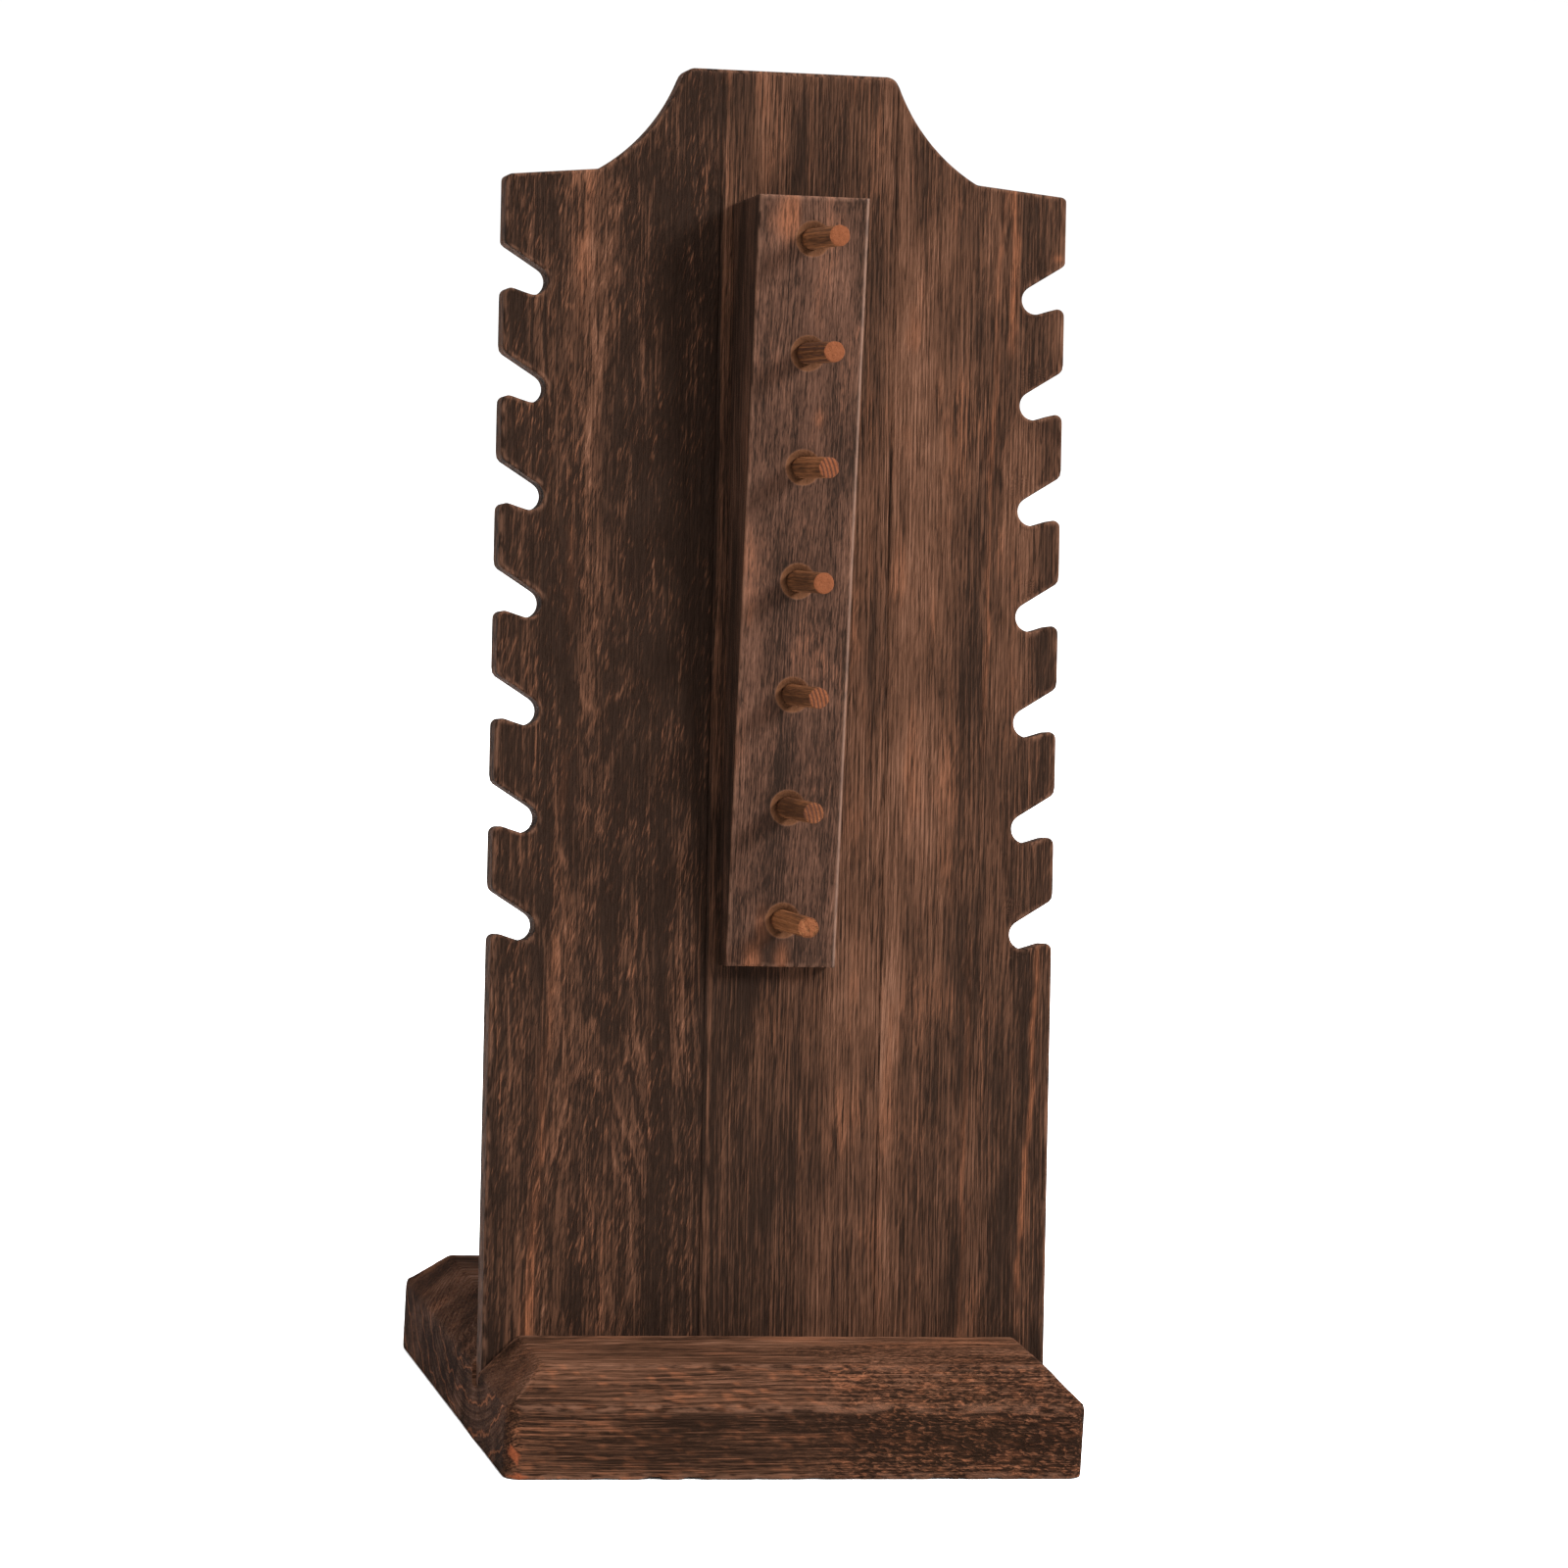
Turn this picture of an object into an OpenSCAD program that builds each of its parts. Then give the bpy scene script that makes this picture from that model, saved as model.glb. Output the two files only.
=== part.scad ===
// Necklace display stand: a bust-shaped board with hook notches down both long
// edges and a wedge-shaped peg rail on its face, standing in a slot in a
// bevelled base block. Units are millimetres, +Z is up and -Y is the front.
// The origin is the middle of the base's underside.

/* [Base block] */
// Width of the base from end to end
base_w = 162; // [140:1:240]
// Depth of the base from front to back
base_d = 160; // [120:1:240]
// Height of the base
base_h = 30; // [26:1:50]
// Bevel along the top of the front edge, measured across and down
front_bevel = 10; // [4:0.5:12]
// Bevel along the top of both ends
end_bevel = 11; // [4:0.5:12]
// Bevel along the top of the rear edge
rear_bevel = 13; // [4:0.5:15]
// Radius of the four upright corners
corner_r = 5; // [1:0.5:10]

/* [Slot] */
// Front edge of the base to the board's face, at the top of the base
board_set = 45; // [35:1:60]
// Depth of the slot, along the board
slot_depth = 15; // [10:0.5:18]
// Clearance between the board and each wall of the slot
slot_gap = 0.3; // [0.2:0.05:0.6]

/* [Board] */
// Width of the board
board_w = 160; // [130:1:200]
// Thickness of the board
board_t = 8.5; // [7:0.5:14]
// Length of the board above the base, to the top of the neck
board_rise = 350; // [335:1:450]
// Lean of the board, back from upright
lean = 9; // [3:0.5:14]
// Width of the left stave of the glued-up board
left_stave_w = 60.5; // [56:0.5:70]
// Width of the middle stave
middle_stave_w = 50; // [40:0.5:60]

/* [Neck and shoulders] */
// Width across the neck at its top corners
neck_w = 60; // [40:1:80]
// Height of the neck above the inner ends of the shoulders
neck_h = 29; // [20:1:36]
// Radius of the neck's two top corners
neck_corner_r = 4; // [1:0.5:8]
// Half width at which the cove of the neck meets the shoulder
cove_reach = 54; // [46:1:60]
// Radius of the cove between neck and shoulder
cove_r = 52; // [40:1:80]
// Fall of each shoulder from the cove to the edge of the board
shoulder_fall = 2.5; // [0:0.5:6]

/* [Hook notches] */
// Number of notches down each edge
notch_count = 7; // [3:1:7]
// Shoulder's outer end down to the middle of the first notch's round end
notch_first = 29; // [24:1:36]
// Spacing of the notches
notch_pitch = 29.6; // [22:0.2:32]
// Radius of the round inner end of a notch
notch_r = 4; // [3:0.25:5]
// Edge of the board to the middle of the round end
notch_reach = 8.4; // [7:0.2:11]
// Fall of the upper side of a notch, inwards from the edge
notch_upper_fall = 32; // [25:1:38]
// Fall of the lower side of a notch
notch_lower_fall = 18; // [10:1:22]
// Radius of the wood's tip below the mouth of a notch
tip_r = 2; // [0.5:0.25:3]

/* [Peg rail] */
// Width of the rail
rail_w = 31; // [24:1:31]
// Top of the neck down to the top of the rail
rail_drop = 37; // [30:1:60]
// Thickness of the rail at its upper end
rail_top_t = 30; // [24:1:40]
// Thickness of the rail at its lower end
rail_bottom_t = 8; // [7:0.5:14]

/* [Pegs] */
// Number of pegs
peg_count = 7; // [7:1:7]
// Diameter of a peg's shank
peg_d = 6; // [5.5:0.25:8]
// Length of the shank outside the rail
peg_out = 30; // [20:1:40]
// Diameter of the tenon that is glued into the wood
tenon_d = 5; // [4:0.25:5]
// Depth of the tenon's end in the wood
tenon_in = 13; // [10:0.5:14]
// Spacing of the pegs along the board
peg_pitch = 31.1; // [24:0.1:38]
// Upper end of the rail down to the first peg
peg_first = 11.6; // [9:0.1:20]
// Last peg down to the lower end of the rail
peg_last = 12.8; // [9:0.1:20]
// Upward tilt of a peg from square to the face of the rail
peg_tilt = 3; // [0:0.5:8]
// Small chamfer round the free end of a peg
peg_chamfer = 0.5; // [0.2:0.1:1]
// Width of the countersink around each peg, at the face of the rail
sink_lip = 2; // [1:0.25:3]
// Glue gap around a tenon in its bore
glue_gap = 0.05; // [0.02:0.01:0.1]

/* [Rail screws] */
// Number of screws through the board into the back of the rail
screw_count = 3; // [1:1:3]
// Length of a screw
screw_len = 20; // [14:0.5:20]
// Diameter of a screw's shank
screw_d = 3; // [2.5:0.25:3.5]
// Diameter of the blunt end of a screw's point
screw_tip_d = 0.6; // [0.4:0.1:1]
// Diameter of a screw's countersunk head
screw_head_d = 6; // [5:0.25:7]
// Width of the cross recess in a screw's head
recess_w = 3; // [2:0.25:3.5]
// Width of one arm of the cross recess
recess_arm = 0.9; // [0.6:0.1:1]
// Depth of the cross recess
recess_depth = 1.2; // [0.6:0.1:1.4]

/* [Hidden] */
$fn = 96;
// Overshoot of every cutting shape past the surface that it cuts
over = 1;

// Heights below are measured up the board's face, from the base's underside.
face_y = board_set - base_d / 2 - base_h * tan(lean);
base_top = base_h / cos(lean);
board_foot = base_top - slot_depth;
neck_top = base_top + board_rise;
shoulder_in = neck_top - neck_h;
shoulder_out = shoulder_in - shoulder_fall;
notch_top = shoulder_out - notch_first;
rail_top = neck_top - rail_drop;
rail_len = peg_first + peg_pitch * (peg_count - 1) + peg_last;
rail_bottom = rail_top - rail_len;

// Where the three staves of the board meet
left_seam = left_stave_w - board_w / 2;
right_seam = left_seam + middle_stave_w;

// The cove is an arc through the neck's sharp corner and the shoulder's inner
// end. The neck's round corner touches that arc and the neck's top.
cove_chord = [cove_reach - neck_w / 2, neck_h];
cove_span = norm(cove_chord);
cove_out = sqrt(pow(cove_r, 2) - pow(cove_span / 2, 2)) / cove_span;
cove_mid = [
    neck_w / 2 + cove_chord[0] / 2 + cove_out * cove_chord[1],
    neck_top - cove_chord[1] / 2 + cove_out * cove_chord[0],
];
corner_drop = cove_mid[1] - neck_top + neck_corner_r;
corner_mid = [
    cove_mid[0] - sqrt(pow(cove_r + neck_corner_r, 2) - pow(corner_drop, 2)),
    neck_top - neck_corner_r,
];

// Heights of a notch's two mouth corners over the middle of its round end, and
// the drop from the lower one to the middle of the wood's tip
mouth_low = (notch_reach * sin(notch_lower_fall) - notch_r) / cos(notch_lower_fall);
mouth_high = (notch_reach * sin(notch_upper_fall) + notch_r) / cos(notch_upper_fall);
tip_drop = tip_r / tan((90 - notch_lower_fall) / 2);

// The rail's face turns away from the board's face by this angle.
rail_taper = atan((rail_top_t - rail_bottom_t) / rail_len);
bore_d = tenon_d + 2 * glue_gap;
sink_d = peg_d + 2 * sink_lip;
sink_depth = (sink_d - bore_d) / 2;
// The shank reaches this far into the countersink and then narrows at 45 degrees.
shank_root = sink_lip / 2;
root_taper = (peg_d - tenon_d) / 2;
screw_head_h = (screw_head_d - screw_d) / 2;
screw_point = screw_d;

function peg_height(k) = rail_top - peg_first - peg_pitch * k;
function rail_t(w) = rail_bottom_t + (w - rail_bottom) * tan(rail_taper);

// Places its children on the leaning board: X across it, Y into it, Z up it.
module on_board() {
    translate([0, face_y, 0]) rotate([-lean, 0, 0]) children();
}

// Places its children at peg k, where its axis leaves the rail, +Z outwards.
module at_peg(k) {
    w = peg_height(k);
    on_board()
        translate([0, -rail_t(w), w])
            rotate([90 + rail_taper - peg_tilt, 0, 0])
                children();
}

// Places its children at screw k, at the board's back face, +Z into the wood.
module at_screw(k) {
    w = peg_height(2 * k) - peg_pitch / 2;
    on_board() translate([0, board_t, w]) rotate([90, 0, 0]) children();
}

// A rectangle with true round corners, centred on the origin.
module round_rect(w, d, r) {
    square([w - 2 * r, d], center = true);
    square([w, d - 2 * r], center = true);
    for (x = [-1, 1], y = [-1, 1])
        translate([x * (w / 2 - r), y * (d / 2 - r)]) circle(r);
}

// The wood that a 45 degree bevel takes off a top edge that runs along X at
// the distance reach from the middle, towards -Y.
module bevel_cut(reach, bevel, length) {
    translate([-length / 2, -reach, base_h - bevel])
        rotate([45, 0, 0])
            translate([-over, -2 * bevel, 0])
                cube([length + 2 * over, 4 * bevel, 2 * bevel]);
}

// The heading of the line from one point to another, from -180 to 180 degrees
function heading(from, to) = atan2(to[1] - from[1], to[0] - from[0]);

// Points along an arc about mid, in the given number of steps
function arc(mid, r, from, to, steps) = [
    for (i = [0 : steps])
        let (a = from + (to - from) * i / steps)
        mid + r * [cos(a), sin(a)]
];

// One notch in the right-hand edge, from the wood's tip up to the upper corner
// of its mouth. The middle of its round end is at the height w.
function notch(w) = concat(
    arc(
        [board_w / 2 - tip_r, w + mouth_low - tip_drop],
        tip_r, 0, 90 + notch_lower_fall, 8
    ),
    arc(
        [board_w / 2 - notch_reach, w],
        notch_r, notch_lower_fall - 90, notch_upper_fall - 270, 16
    ),
    [[board_w / 2, w + mouth_high]]
);

// The right-hand half of the board's outline, from its foot to the neck's top
function right_half() = concat(
    [[board_w / 2, board_foot]],
    [
        for (k = [notch_count - 1 : -1 : 0])
            each notch(notch_top - notch_pitch * k)
    ],
    [[board_w / 2, shoulder_out]],
    arc(
        cove_mid, cove_r,
        heading(cove_mid, [cove_reach, shoulder_in]),
        heading(cove_mid, corner_mid), 24
    ),
    arc(corner_mid, neck_corner_r, heading(corner_mid, cove_mid), 90, 8)
);

module board_outline() {
    right = right_half();
    last = len(right) - 1;
    left = [for (i = [last : -1 : 0]) [-right[i][0], right[i][1]]];
    polygon(concat(right, left));
}

// Head, shank and point of a wood screw, with its head at the origin and its
// point up +Z
module screw_body() {
    cylinder(h = screw_head_h, d1 = screw_head_d, d2 = screw_d);
    cylinder(h = screw_len - screw_point, d = screw_d);
    translate([0, 0, screw_len - screw_point])
        cylinder(h = screw_point, d1 = screw_d, d2 = screw_tip_d);
}

module screw() {
    difference() {
        screw_body();
        for (turn = [0, 90])
            rotate([0, 0, turn])
                translate([-recess_w / 2, -recess_arm / 2, -over])
                    cube([recess_w, recess_arm, recess_depth + over]);
    }
}

// The hole that a screw fills.
module screw_hole() {
    translate([0, 0, -over]) cylinder(h = over, d = screw_head_d);
    screw_body();
}

// The blind bore for one peg, with the countersink around its mouth.
module peg_bore() {
    translate([0, 0, -tenon_in]) cylinder(h = tenon_in, d = bore_d);
    translate([0, 0, -sink_depth])
        cylinder(h = 2 * sink_depth, d1 = bore_d, d2 = bore_d + 4 * sink_depth);
}

// The bores of every peg and the holes of every screw, cut alike from all the
// wood that they reach
module rail_holes() {
    for (k = [0 : peg_count - 1]) at_peg(k) peg_bore();
    for (k = [0 : screw_count - 1]) at_screw(k) screw_hole();
}

// One stave of the board, between two upright lines across its width.
module stave(from_x, to_x) {
    difference() {
        on_board()
            translate([0, board_t, 0])
                rotate([90, 0, 0])
                    linear_extrude(board_t)
                        intersection() {
                            board_outline();
                            translate([from_x, board_foot])
                                square([to_x - from_x, neck_top - board_foot]);
                        }
        rail_holes();
    }
}

module base_block() {
    color("#4a3024")
        difference() {
            linear_extrude(base_h) round_rect(base_w, base_d, corner_r);
            bevel_cut(base_d / 2, front_bevel, base_w);
            rotate([0, 0, 180]) bevel_cut(base_d / 2, rear_bevel, base_w);
            for (turn = [90, -90])
                rotate([0, 0, turn]) bevel_cut(base_w / 2, end_bevel, base_d);
            on_board()
                translate([-base_w / 2 - over, -slot_gap, board_foot])
                    cube([
                        base_w + 2 * over,
                        board_t + 2 * slot_gap,
                        slot_depth + base_h,
                    ]);
        }
}

module left_stave() {
    color("#3f2a20") stave(-board_w / 2, left_seam);
}

module middle_stave() {
    color("#523628") stave(left_seam, right_seam);
}

module right_stave() {
    color("#5a3a2b") stave(right_seam, board_w / 2);
}

module peg_rail() {
    color("#6b4a3a")
        difference() {
            on_board()
                translate([-rail_w / 2, 0, 0])
                    rotate([90, 0, 90])
                        linear_extrude(rail_w)
                            polygon([
                                [0, rail_bottom],
                                [0, rail_top],
                                [-rail_top_t, rail_top],
                                [-rail_bottom_t, rail_bottom],
                            ]);
            rail_holes();
        }
}

module peg(k) {
    shank = shank_root + peg_out - peg_chamfer;
    color("#7a4b30")
        at_peg(k) {
            translate([0, 0, -tenon_in])
                cylinder(h = tenon_in - shank_root - root_taper, d = tenon_d);
            translate([0, 0, -shank_root - root_taper])
                cylinder(h = root_taper, d1 = tenon_d, d2 = peg_d);
            translate([0, 0, -shank_root]) cylinder(h = shank, d = peg_d);
            translate([0, 0, peg_out - peg_chamfer])
                cylinder(h = peg_chamfer, d1 = peg_d, d2 = peg_d - 2 * peg_chamfer);
        }
}

module rail_screws() {
    color("#2b2b2d")
        for (k = [0 : screw_count - 1]) at_screw(k) screw();
}

base_block();
left_stave();
middle_stave();
right_stave();
peg_rail();
peg(0);  // peg_1
peg(1);  // peg_2
peg(2);  // peg_3
peg(3);  // peg_4
peg(4);  // peg_5
peg(5);  // peg_6
peg(6);  // peg_7
rail_screws();
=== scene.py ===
# %% [markdown]
# # A necklace display stand in burnt, brushed wood
#
# The stand is a bust-shaped board that leans back in a slot across a heavy
# base. Hook notches run down both edges of the board, and a wedge-shaped rail
# with seven pegs is fixed to its face. Everything is one wood: it was charred,
# wire-brushed so that the hard rings stand proud, and rubbed with oil.
#
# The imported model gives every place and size. It is flat-faced, as a joiner
# would draw it. Each step below makes the visible wood for one part of it.

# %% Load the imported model
import math

import bpy
import numpy as np
from mathutils import Matrix, Vector


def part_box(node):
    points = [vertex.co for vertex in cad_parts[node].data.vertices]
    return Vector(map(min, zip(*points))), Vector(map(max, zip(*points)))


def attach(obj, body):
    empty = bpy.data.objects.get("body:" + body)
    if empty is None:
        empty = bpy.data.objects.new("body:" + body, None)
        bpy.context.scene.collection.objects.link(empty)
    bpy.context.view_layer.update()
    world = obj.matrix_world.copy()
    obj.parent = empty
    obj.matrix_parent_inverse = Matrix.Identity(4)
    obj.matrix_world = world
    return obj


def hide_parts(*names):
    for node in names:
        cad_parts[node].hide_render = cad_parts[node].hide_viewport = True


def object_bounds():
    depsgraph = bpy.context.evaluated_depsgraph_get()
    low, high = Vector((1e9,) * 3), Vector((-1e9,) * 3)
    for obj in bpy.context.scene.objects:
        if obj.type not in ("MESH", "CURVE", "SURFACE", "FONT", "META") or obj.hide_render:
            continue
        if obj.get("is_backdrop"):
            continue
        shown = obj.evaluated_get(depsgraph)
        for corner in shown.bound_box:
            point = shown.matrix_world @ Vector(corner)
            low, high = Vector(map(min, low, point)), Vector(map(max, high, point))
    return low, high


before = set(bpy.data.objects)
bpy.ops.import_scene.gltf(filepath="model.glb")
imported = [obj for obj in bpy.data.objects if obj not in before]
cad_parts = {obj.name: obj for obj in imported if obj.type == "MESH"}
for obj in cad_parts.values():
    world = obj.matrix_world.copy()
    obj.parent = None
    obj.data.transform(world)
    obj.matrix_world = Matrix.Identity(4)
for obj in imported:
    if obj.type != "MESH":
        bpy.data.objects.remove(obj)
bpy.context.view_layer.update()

# %% [markdown]
# ## Two sets of directions
#
# The base stands square, but the board, rail and pegs lean back together. It
# is far easier to shape the board lying flat, so its shapes are worked out in
# board measure: u across the board, t into the wood and w up the face. One
# function then leans everything back at once. All shapes are in millimetres
# until a mesh is made.

# %% Board measure
LEAN = math.radians(9)
BOARD_T = 8.5
MM = 1000


def box_mm(node):
    """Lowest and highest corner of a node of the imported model, in millimetres."""
    low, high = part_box(node)
    return np.array(low) * MM, np.array(high) * MM


left_box, middle_box, rail_box = map(box_mm, ("left_stave", "middle_stave", "peg_rail"))
FOOT = (left_box[0][2] + BOARD_T * math.sin(LEAN)) / math.cos(LEAN)
FACE_Y = left_box[0][1] - FOOT * math.sin(LEAN)
NECK_TOP = middle_box[1][2] / math.cos(LEAN)
HALF_W = -left_box[0][0]
SEAM_LEFT, SEAM_RIGHT = middle_box[0][0], middle_box[1][0]


def lean_back(u, t, w):
    """Board measure to the model's own directions: turn by the lean about the
    line where the face meets the floor's height."""
    y = FACE_Y + w * math.sin(LEAN) + t * math.cos(LEAN)
    z = w * math.cos(LEAN) - t * math.sin(LEAN)
    return np.stack([u, y, z], -1)


print(f"the board's face runs from w = {FOOT:.2f} to {NECK_TOP:.2f} mm")

# %% [markdown]
# ## Smooth chance
#
# Nothing on a burnt board is regular. Rings wander, char lies in clouds and
# arrises are rubbed unevenly. All of that comes from one helper, which blends
# a table of random numbers so smoothly that no step shows. The seed fixes the
# table, so the stand is the same each time it is made.

# %% Smooth random values
TABLE = 97


def chance(x, y, seed):
    """Random values from -1 to 1 at whole numbers, blended between them by
    the curve 3f^2 - 2f^3 of the fraction f along each direction."""
    table = np.random.default_rng(seed).uniform(-1, 1, (TABLE, TABLE))
    x, y = np.broadcast_arrays(np.asarray(x, float), np.asarray(y, float))
    cell_x, cell_y = np.floor(x).astype(int), np.floor(y).astype(int)
    f, g = x - cell_x, y - cell_y
    f, g = f * f * (3 - 2 * f), g * g * (3 - 2 * g)
    here_x, next_x = cell_x % TABLE, (cell_x + 1) % TABLE
    here_y, next_y = cell_y % TABLE, (cell_y + 1) % TABLE
    low = table[here_x, here_y] * (1 - f) + table[next_x, here_y] * f
    high = table[here_x, next_y] * (1 - f) + table[next_x, next_y] * f
    return low * (1 - g) + high * g


def ease(value, start, end):
    """0 below start, 1 above end, and an S curve between."""
    f = np.clip((value - start) / (end - start), 0, 1)
    return f * f * (3 - 2 * f)


def hump(value, middle, width):
    """1 at the middle, and a bell curve of the width down to 0 on both sides."""
    return np.exp(-(((value - middle) / width) ** 2))


print("three random values:", np.round(chance([0.2, 0.5, 3.1], 0.4, 1), 3))

# %% [markdown]
# ## Rings, and what brushing does to them
#
# A tree's rings are rough cylinders about its heart. A stave shows close
# parallel lines where it was cut through the heart's side, and broad lazy
# figure where the heart lies behind it. So the wood needs no drawn lines. Each
# piece only says where its heart was, and the distance from it counts rings.
#
# Brushing takes the soft early wood away. That is real relief, so it is cut
# into the mesh here, and the same ring count is kept on the mesh, where the
# finish picks it up to darken the valleys.

# %% The ring count and its relief
def ring_count(across, through, along, heart, spacing, wander, seed):
    """Distance from the heart line over the ring spacing. The line drifts
    slowly along its length, and the rings waver by a fraction of a ring."""
    drift_a = wander * chance(along / 85, 0.5, seed)
    drift_b = wander * chance(along / 60, 4.5, seed)
    distance = np.hypot(across - heart[0] - drift_a, through - heart[1] - drift_b)
    waver = 1.7 * chance(across / 24, along / 150, seed + 6)
    waver = waver + 0.6 * chance(across / 7, along / 46, seed + 1)
    return distance / spacing + waver + 0.22 * chance(across / 1.9, along / 14, seed + 2)


def brushed(rings, across, along, seed, depth=0.22):
    """Depth below the sound surface, never negative: a cosine valley between
    rings, deeper in soft patches, with shallow tool dips of a few centimetres."""
    valley = (0.5 - 0.5 * np.cos(2 * np.pi * rings)) ** 1.6
    soft = ease(chance(across / 6, along / 34, seed + 3), -0.9, 0.8)
    dips = 0.12 + 0.12 * chance(across / 16, along / 42, seed + 4)
    pluck = 0.1 * np.clip(chance(across / 1.2, along / 7, seed + 5), 0, 1)
    return depth * valley * soft + dips + pluck


# %% [markdown]
# ## From arrays to a mesh
#
# A stave, the rail and the base are all a block whose skin is pulled into
# shape. The skin of a block is a fixed pattern: number its outside points once
# and six sheets of four-cornered faces close it with no gaps. Only the points'
# places differ from piece to piece.

# %% Skin of a block, and the mesh maker
def sheet_faces(numbers):
    """One face for each cell of a sheet of point numbers."""
    corners = [numbers[:-1, :-1], numbers[:-1, 1:], numbers[1:, 1:], numbers[1:, :-1]]
    return np.stack(corners, -1).reshape(-1, 4)


def block_skin(cells_u, cells_t, cells_w):
    """(i, j, k) of every outside point of a block of cells, and the faces of
    its six sides, each turned so that it looks outwards."""
    shape = (cells_u + 1, cells_t + 1, cells_w + 1)
    outside = np.ones(shape, bool)
    outside[1:-1, 1:-1, 1:-1] = False
    numbers = np.full(shape, -1)
    numbers[outside] = np.arange(outside.sum())
    sheets = [
        numbers[:, 0, :].T, numbers[:, -1, :].T[:, ::-1],
        numbers[-1].T, numbers[0].T[:, ::-1],
        numbers[:, :, -1].T, numbers[:, :, 0].T[:, ::-1],
    ]
    return np.argwhere(outside).T, np.concatenate([sheet_faces(s) for s in sheets])


def make_piece(name, points, faces, wood, rings, masks):
    """Puts points in millimetres and faces into a mesh, with the wood's own
    directions, its ring count and its masks kept on the points."""
    mesh = bpy.data.meshes.new(name)
    mesh.from_pydata((points / MM).tolist(), [], [list(f) for f in faces])
    mesh.shade_smooth()
    layer = mesh.attributes.new("wood", "FLOAT_VECTOR", "POINT")
    layer.data.foreach_set("vector", np.asarray(wood, np.float32).ravel())
    for key, values in {"rings": rings, **masks}.items():
        layer = mesh.attributes.new(key, "FLOAT", "POINT")
        values = np.broadcast_to(values, len(points)).astype(np.float32)
        layer.data.foreach_set("value", values)
    mesh.update()
    piece = bpy.data.objects.new(name, mesh)
    bpy.context.scene.collection.objects.link(piece)
    print(name, len(mesh.vertices), "points,", sum(len(f) - 2 for f in faces), "triangles")
    return piece


def settle(piece, body, slot, *nodes):
    """The piece moves with a body and hides the nodes it stands for. slot is not used."""
    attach(piece, body)
    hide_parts(*nodes)


# %% [markdown]
# ## The base
#
# The base is a block 162 by 160 mm and 30 high, planed to wide bevels on all
# four top edges and rounded at its upright corners. The slanted slot runs right
# through it, so its cross-section is one closed outline that can be carried
# from end to end. The bevels at the ends fall out by themselves, if no station
# may be higher than the end bevel's plane. Points lie closer together where the
# section turns or shows, and wider apart under the base.

# %% Cross-section of the base
BASE_W, BASE_D, BASE_H = 81, 80, 30
FRONT_BEVEL, END_BEVEL, REAR_BEVEL, CORNER_R = 10, 11, 13, 5
SLOT_GAP = 0.3
END_ROUND, RUB, BEVEL_EASE, ROUNDINGS = 0.9, 1.3, 0.8, 3

# Points along the front, its bevel, the front top, the slot's wall, floor and
# wall, the rear top, its bevel and the rear.
SIDE_POINTS = [26, 18, 44, 9, 7, 9, 92, 17, 15]
UNDER_CLOSE = np.arange(5) / 200
UNDER_WIDE = np.linspace(0.06, 0.94, 9)


def slot_wall(t, z):
    """Where the slot's wall, t behind the board's face, is at height z."""
    w = (z + t * math.sin(LEAN)) / math.cos(LEAN)
    return FACE_Y + w * math.sin(LEAN) + t * math.cos(LEAN)


def base_corners(x):
    """The ten corners (y, z) of the section at each station x. The top is cut
    at the end bevel's height, and the sides follow the rounded plan corner."""
    past = np.clip(np.abs(x) - (BASE_W - END_BEVEL), 0, None)
    top = BASE_H - past * past / (past + BEVEL_EASE)
    round_off = np.clip(np.abs(x) - (BASE_W - CORNER_R), 0, CORNER_R)
    half = BASE_D - CORNER_R + np.sqrt(CORNER_R**2 - round_off**2)
    down = BASE_H - top
    front, rear = BASE_D - FRONT_BEVEL, BASE_D - REAR_BEVEL
    floor = [lean_back(0.0, t, FOOT)[1:] for t in (-SLOT_GAP, BOARD_T + SLOT_GAP)]
    zero = np.zeros_like(x)
    corners = [
        (-half, zero),
        (-half, np.minimum(BASE_H - (half - front), top - RUB)),
        (-np.minimum(front + down, half - RUB), top),
        (slot_wall(-SLOT_GAP, top), top),
        (zero + floor[0][0], zero + floor[0][1]),
        (zero + floor[1][0], zero + floor[1][1]),
        (slot_wall(BOARD_T + SLOT_GAP, top), top),
        (np.minimum(rear + down, half - RUB), top),
        (half, np.minimum(BASE_H - (half - rear), top - RUB)),
        (half, zero),
    ]
    return np.array(corners).transpose(2, 0, 1)


def base_section(x):
    """The corners joined by even steps and rubbed round: each point moves
    towards the middle of its neighbours a few times."""
    corners = base_corners(x)
    ahead = np.roll(corners, -1, axis=1)
    runs = [np.arange(n) / n for n in SIDE_POINTS]
    runs.append(np.concatenate([UNDER_CLOSE, UNDER_WIDE, 1 - UNDER_CLOSE[:0:-1]]))
    section = np.concatenate(
        [
            corners[:, i, None] + (ahead[:, i] - corners[:, i])[:, None] * run[None, :, None]
            for i, run in enumerate(runs)
        ],
        axis=1,
    )
    for _ in range(ROUNDINGS):
        section = (np.roll(section, 1, 1) + 2 * section + np.roll(section, -1, 1)) / 4
    return section


MIDDLE_STATIONS, TURN_STATIONS = 170, 12
turn_start = BASE_W - CORNER_R
middle_x = np.linspace(-turn_start, turn_start, MIDDLE_STATIONS)
turn_x = turn_start + CORNER_R * np.sin(np.linspace(0, np.pi / 2, TURN_STATIONS + 1)[1:])
stations = np.concatenate([[-BASE_W], -turn_x[::-1], middle_x, turn_x, [BASE_W]])
section = base_section(stations)
print("the base has", section.shape[0], "stations of", section.shape[1], "points")

# %% [markdown]
# The relief goes inwards along the section's own normal, so the base never
# grows, and it stops at the slot, the floor and the ends. The heart of the tree
# lay above the base, so the ends show arcs that open upwards. The right half of
# the front has curly figure, with short wavy tufts, and the left half has long
# streaks.

# %% Rings in the base
HEART = (-18, 96)
BASE_RING = 1.55


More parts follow.
